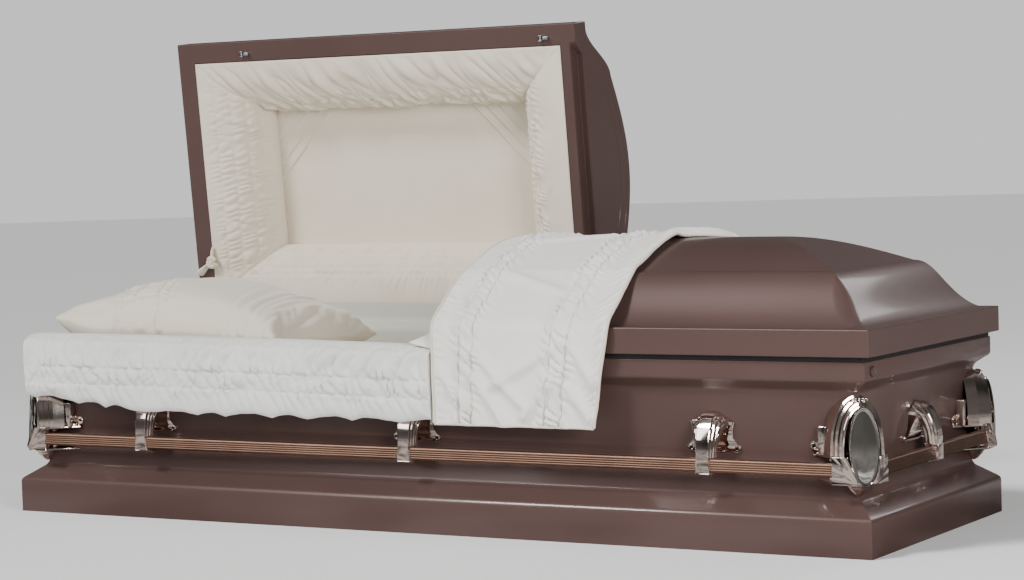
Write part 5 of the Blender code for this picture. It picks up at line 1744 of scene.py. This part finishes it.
def throwHems(place):
    # Piping along all four edges, its route evened out over five points.
    bm = bmesh.new()
    edges = [[place(u, v / 180) for v in range(181)] for u in (0.0, 1.0)]
    edges += [[place(u / 90, v) for u in range(91)] for v in (0.0, 1.0)]
    for points in edges:
        even = []
        for i in range(len(points)):
            near = [Vector(points[min(max(i + n, 0), len(points) - 1)]) for n in (-2, -1, 0, 1, 2)]
            even.append(sum(near, Vector()) / 5)
        addTo(bm, tube(even, [throw["piping"]] * len(even), 8))
    piece = toObject("throwPiping", bm, 60)
    return finished(piece, creamCloth, "foot_lid", "white_cloth")


corner = {
    "top": ((0.0200, -0.349, 0.4030), (0.0615, -0.349, 0.4170), (0.0805, -0.350, 0.4350)),
    "low": ((0.0200, -0.349, 0.4025), (0.0790, -0.350, 0.3895)),
    "bend": 0.68,
    "thick": 0.0016,
}


def makeCorner():
    # A small folded corner of cloth that shows beside the throw.
    start, middle, end = (Vector(p) for p in corner["top"])
    lowStart, lowEnd = (Vector(p) for p in corner["low"])
    bend = corner["bend"]

    def place(u, v):
        upper = start.lerp(middle, u / bend) if u < bend else middle.lerp(end, (u - bend) / (1 - bend))
        spot = upper.lerp(lowStart.lerp(lowEnd, u), v)
        spot.y += 0.004 * math.sin(math.pi * v) * u - 0.002
        return spot

    piece = toObject("throwCorner", clothGrid(26, 20, place, (0.062, 0.036)), 60)
    wallSkin(piece, corner["thick"])
    baked(piece, 60)
    finished(piece, warmCloth, "casket_body", "white_cloth")
    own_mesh(piece)


makeCorner()
makeThrow()
print("throw ready")


# Pillow

pillow = {
    "centre": (-0.693, -0.070),
    "size": (0.638, 0.430),
    "thick": 0.194,
    "low": 0.3262,
    "tilt": 0.020,
    "pinch": 0.055,
    "cell": 0.0060,
    "swell": 0.012,
    "pressure": 4.0,
    "frames": 20,
    "bands": (0.150, 0.185, 0.245, 0.272),
}


def swollen(piece):
    # Blows the piece up like a filled cushion and keeps the result.
    fine = piece.modifiers.new("even", "REMESH")
    fine.mode = "VOXEL"
    fine.voxel_size = pillow["cell"]
    baked(piece, 60)
    before = [v.co.copy() for v in piece.data.vertices]
    puffed = piece.modifiers.new("cloth", "CLOTH")
    puffed.settings.quality = 5
    puffed.settings.mass = 0.2
    puffed.settings.use_pressure = True
    puffed.settings.uniform_pressure_force = pillow["pressure"]
    puffed.settings.effector_weights.gravity = 0
    puffed.settings.bending_stiffness = 0.05
    puffed.point_cache.frame_start = 1
    puffed.point_cache.frame_end = pillow["frames"]
    scene = bpy.context.scene
    for number in range(1, pillow["frames"] + 1):
        scene.frame_set(number)
    baked(piece, 60)
    scene.frame_set(1)
    for vert, old in zip(piece.data.vertices, before):
        move = vert.co - old
        if move.length > pillow["swell"]:
            vert.co = old + move.normalized() * pillow["swell"]


def pillowSeat(a, b, low):  # the seam's height
    raised = 0.024 * smooth((-a - 0.6) / 0.4) * smooth((-b - 0.2) / 0.8)
    return low + pillow["thick"] * 0.38 - pillow["tilt"] * (a + b) / 2 + raised


def makePillow():
    low, thick = pillow["low"], pillow["thick"]
    (cx, cy), (lengthX, depthY) = pillow["centre"], pillow["size"]
    bm = bmesh.new()
    for side in (1, -1):
        def place(u, v):
            a, b = 2 * u - 1, 2 * v - 1
            x = cx + lengthX / 2 * a * (1 - pillow["pinch"] * (1 - b * b))
            y = cy + depthY / 2 * b * (1 - pillow["pinch"] * (1 - a * a))
            crown = max(0.0, (1 - a * a) * (1 - b * b)) ** 0.46
            seam = pillowSeat(a, b, low)
            if side < 0:
                return (x, y, seam - 0.002 - crown * (seam - 0.002 - low - 0.001))
            high = (low + thick - 0.012 - seam) * (1 - 0.22 * smooth((a - 0.05) / 0.75))
            return (x, y, seam + 0.002 + crown * high)

        addTo(bm, clothGrid(90, 64, place, (lengthX, depthY)))
    bmesh.ops.bridge_loops(bm, edges=openEdges(bm))
    piece = toObject("headPillow", bm, 60)
    swollen(piece)
    finer = piece.modifiers.new("finer", "SUBSURF")
    finer.levels = finer.render_levels = 1
    baked(piece, 60)
    bm = copied(piece.data)
    bm.normal_update()
    moves = []
    for vert in bm.verts:
        a, b = (vert.co.x - cx) / (lengthX / 2), (vert.co.y - cy) / (depthY / 2)
        s, t = lengthX / 2 * (a + 1), depthY / 2 * (b + 1)
        top = smooth((vert.normal.z + 0.25) / 0.5)
        inner = smooth((1 - abs(a)) / 0.10) * smooth((1 - abs(b)) / 0.10)
        across = s * 0.92 + t * 0.40 - 0.03
        down = t * 0.92 - s * 0.40
        rise = shirred(down, across, pillow["bands"], 0.020, 3.0, slant=0.3, reach=0.012, floor=0.3) * 0.0074
        rise -= 0.0012 * sum(math.exp(-((across - row) / 0.003) ** 2) for row in pillow["bands"])
        right = smooth((s - 0.40) / 0.12)
        rise += ripple(s, t, 1.75, 0.030, 0.22, 6.0) * 0.0064 * right
        rise += wave(s / 0.11, t / 0.11, 2.0) * 0.003
        seam = pillowSeat(a, b, low) + pillow["swell"] * 0.2
        crease = math.exp(-((vert.co.z - seam) / 0.006) ** 2) * (1 - inner) * 0.002
        moves.append(vert.normal * (rise * top * inner + crease))
    for vert, move in zip(bm.verts, moves):
        vert.co += move
        vert.co.z = max(vert.co.z, low)
    stored(bm, piece.data)
    piece.data.set_sharp_from_angle(angle=math.radians(70))
    finished(piece, pillowCloth, "casket_body", "cream_cloth", "pillow")
    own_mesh(piece)


makePillow()
print("pillow ready")


# Lining tie

def makeTie():
    # A knotted strap on the rim, made on the closed lid and turned with it.
    z = rimZ - 0.0075
    strap = [(-1.0025, 0.158, rimZ - 0.002), (-1.0035, 0.168, rimZ - 0.006), (-1.0045, 0.180, z),
             (-1.006, 0.192, z - 0.002)]
    turns = [0.3 + i * 0.5 for i in range(12)]
    loop = [(-1.0035 + 0.0125 * math.cos(a), 0.1945 + 0.0110 * math.sin(a),
             z - 0.003 + 0.002 * math.sin(2 * a)) for a in turns]
    tail = [(-1.012, 0.200, z - 0.001), (-1.024, 0.206, z + 0.001), (-1.036, 0.214, z + 0.002),
            (-1.046, 0.221, z + 0.003), (-1.050, 0.225, z + 0.003)]
    bm = tube(strap, [0.0050, 0.0066, 0.0078, 0.0088], 12, 0.6)
    addTo(bm, tube(loop, [0.0068] * len(loop), 12, 0.8))
    addTo(bm, tube(tail, [0.0080, 0.0078, 0.0096, 0.0120, 0.0095], 12, 0.5))
    addTo(bm, bead((-1.0045, 0.1945, z - 0.003), 0.0085, (1.0, 1.1, 0.8)))
    piece = toObject("rimTie", turned(bm, openedMatrix()), 60, fix=False)
    finished(piece, creamCloth, "head_lid", "cream_cloth", "lining_tie")
    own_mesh(piece)


makeTie()
print("tie ready")
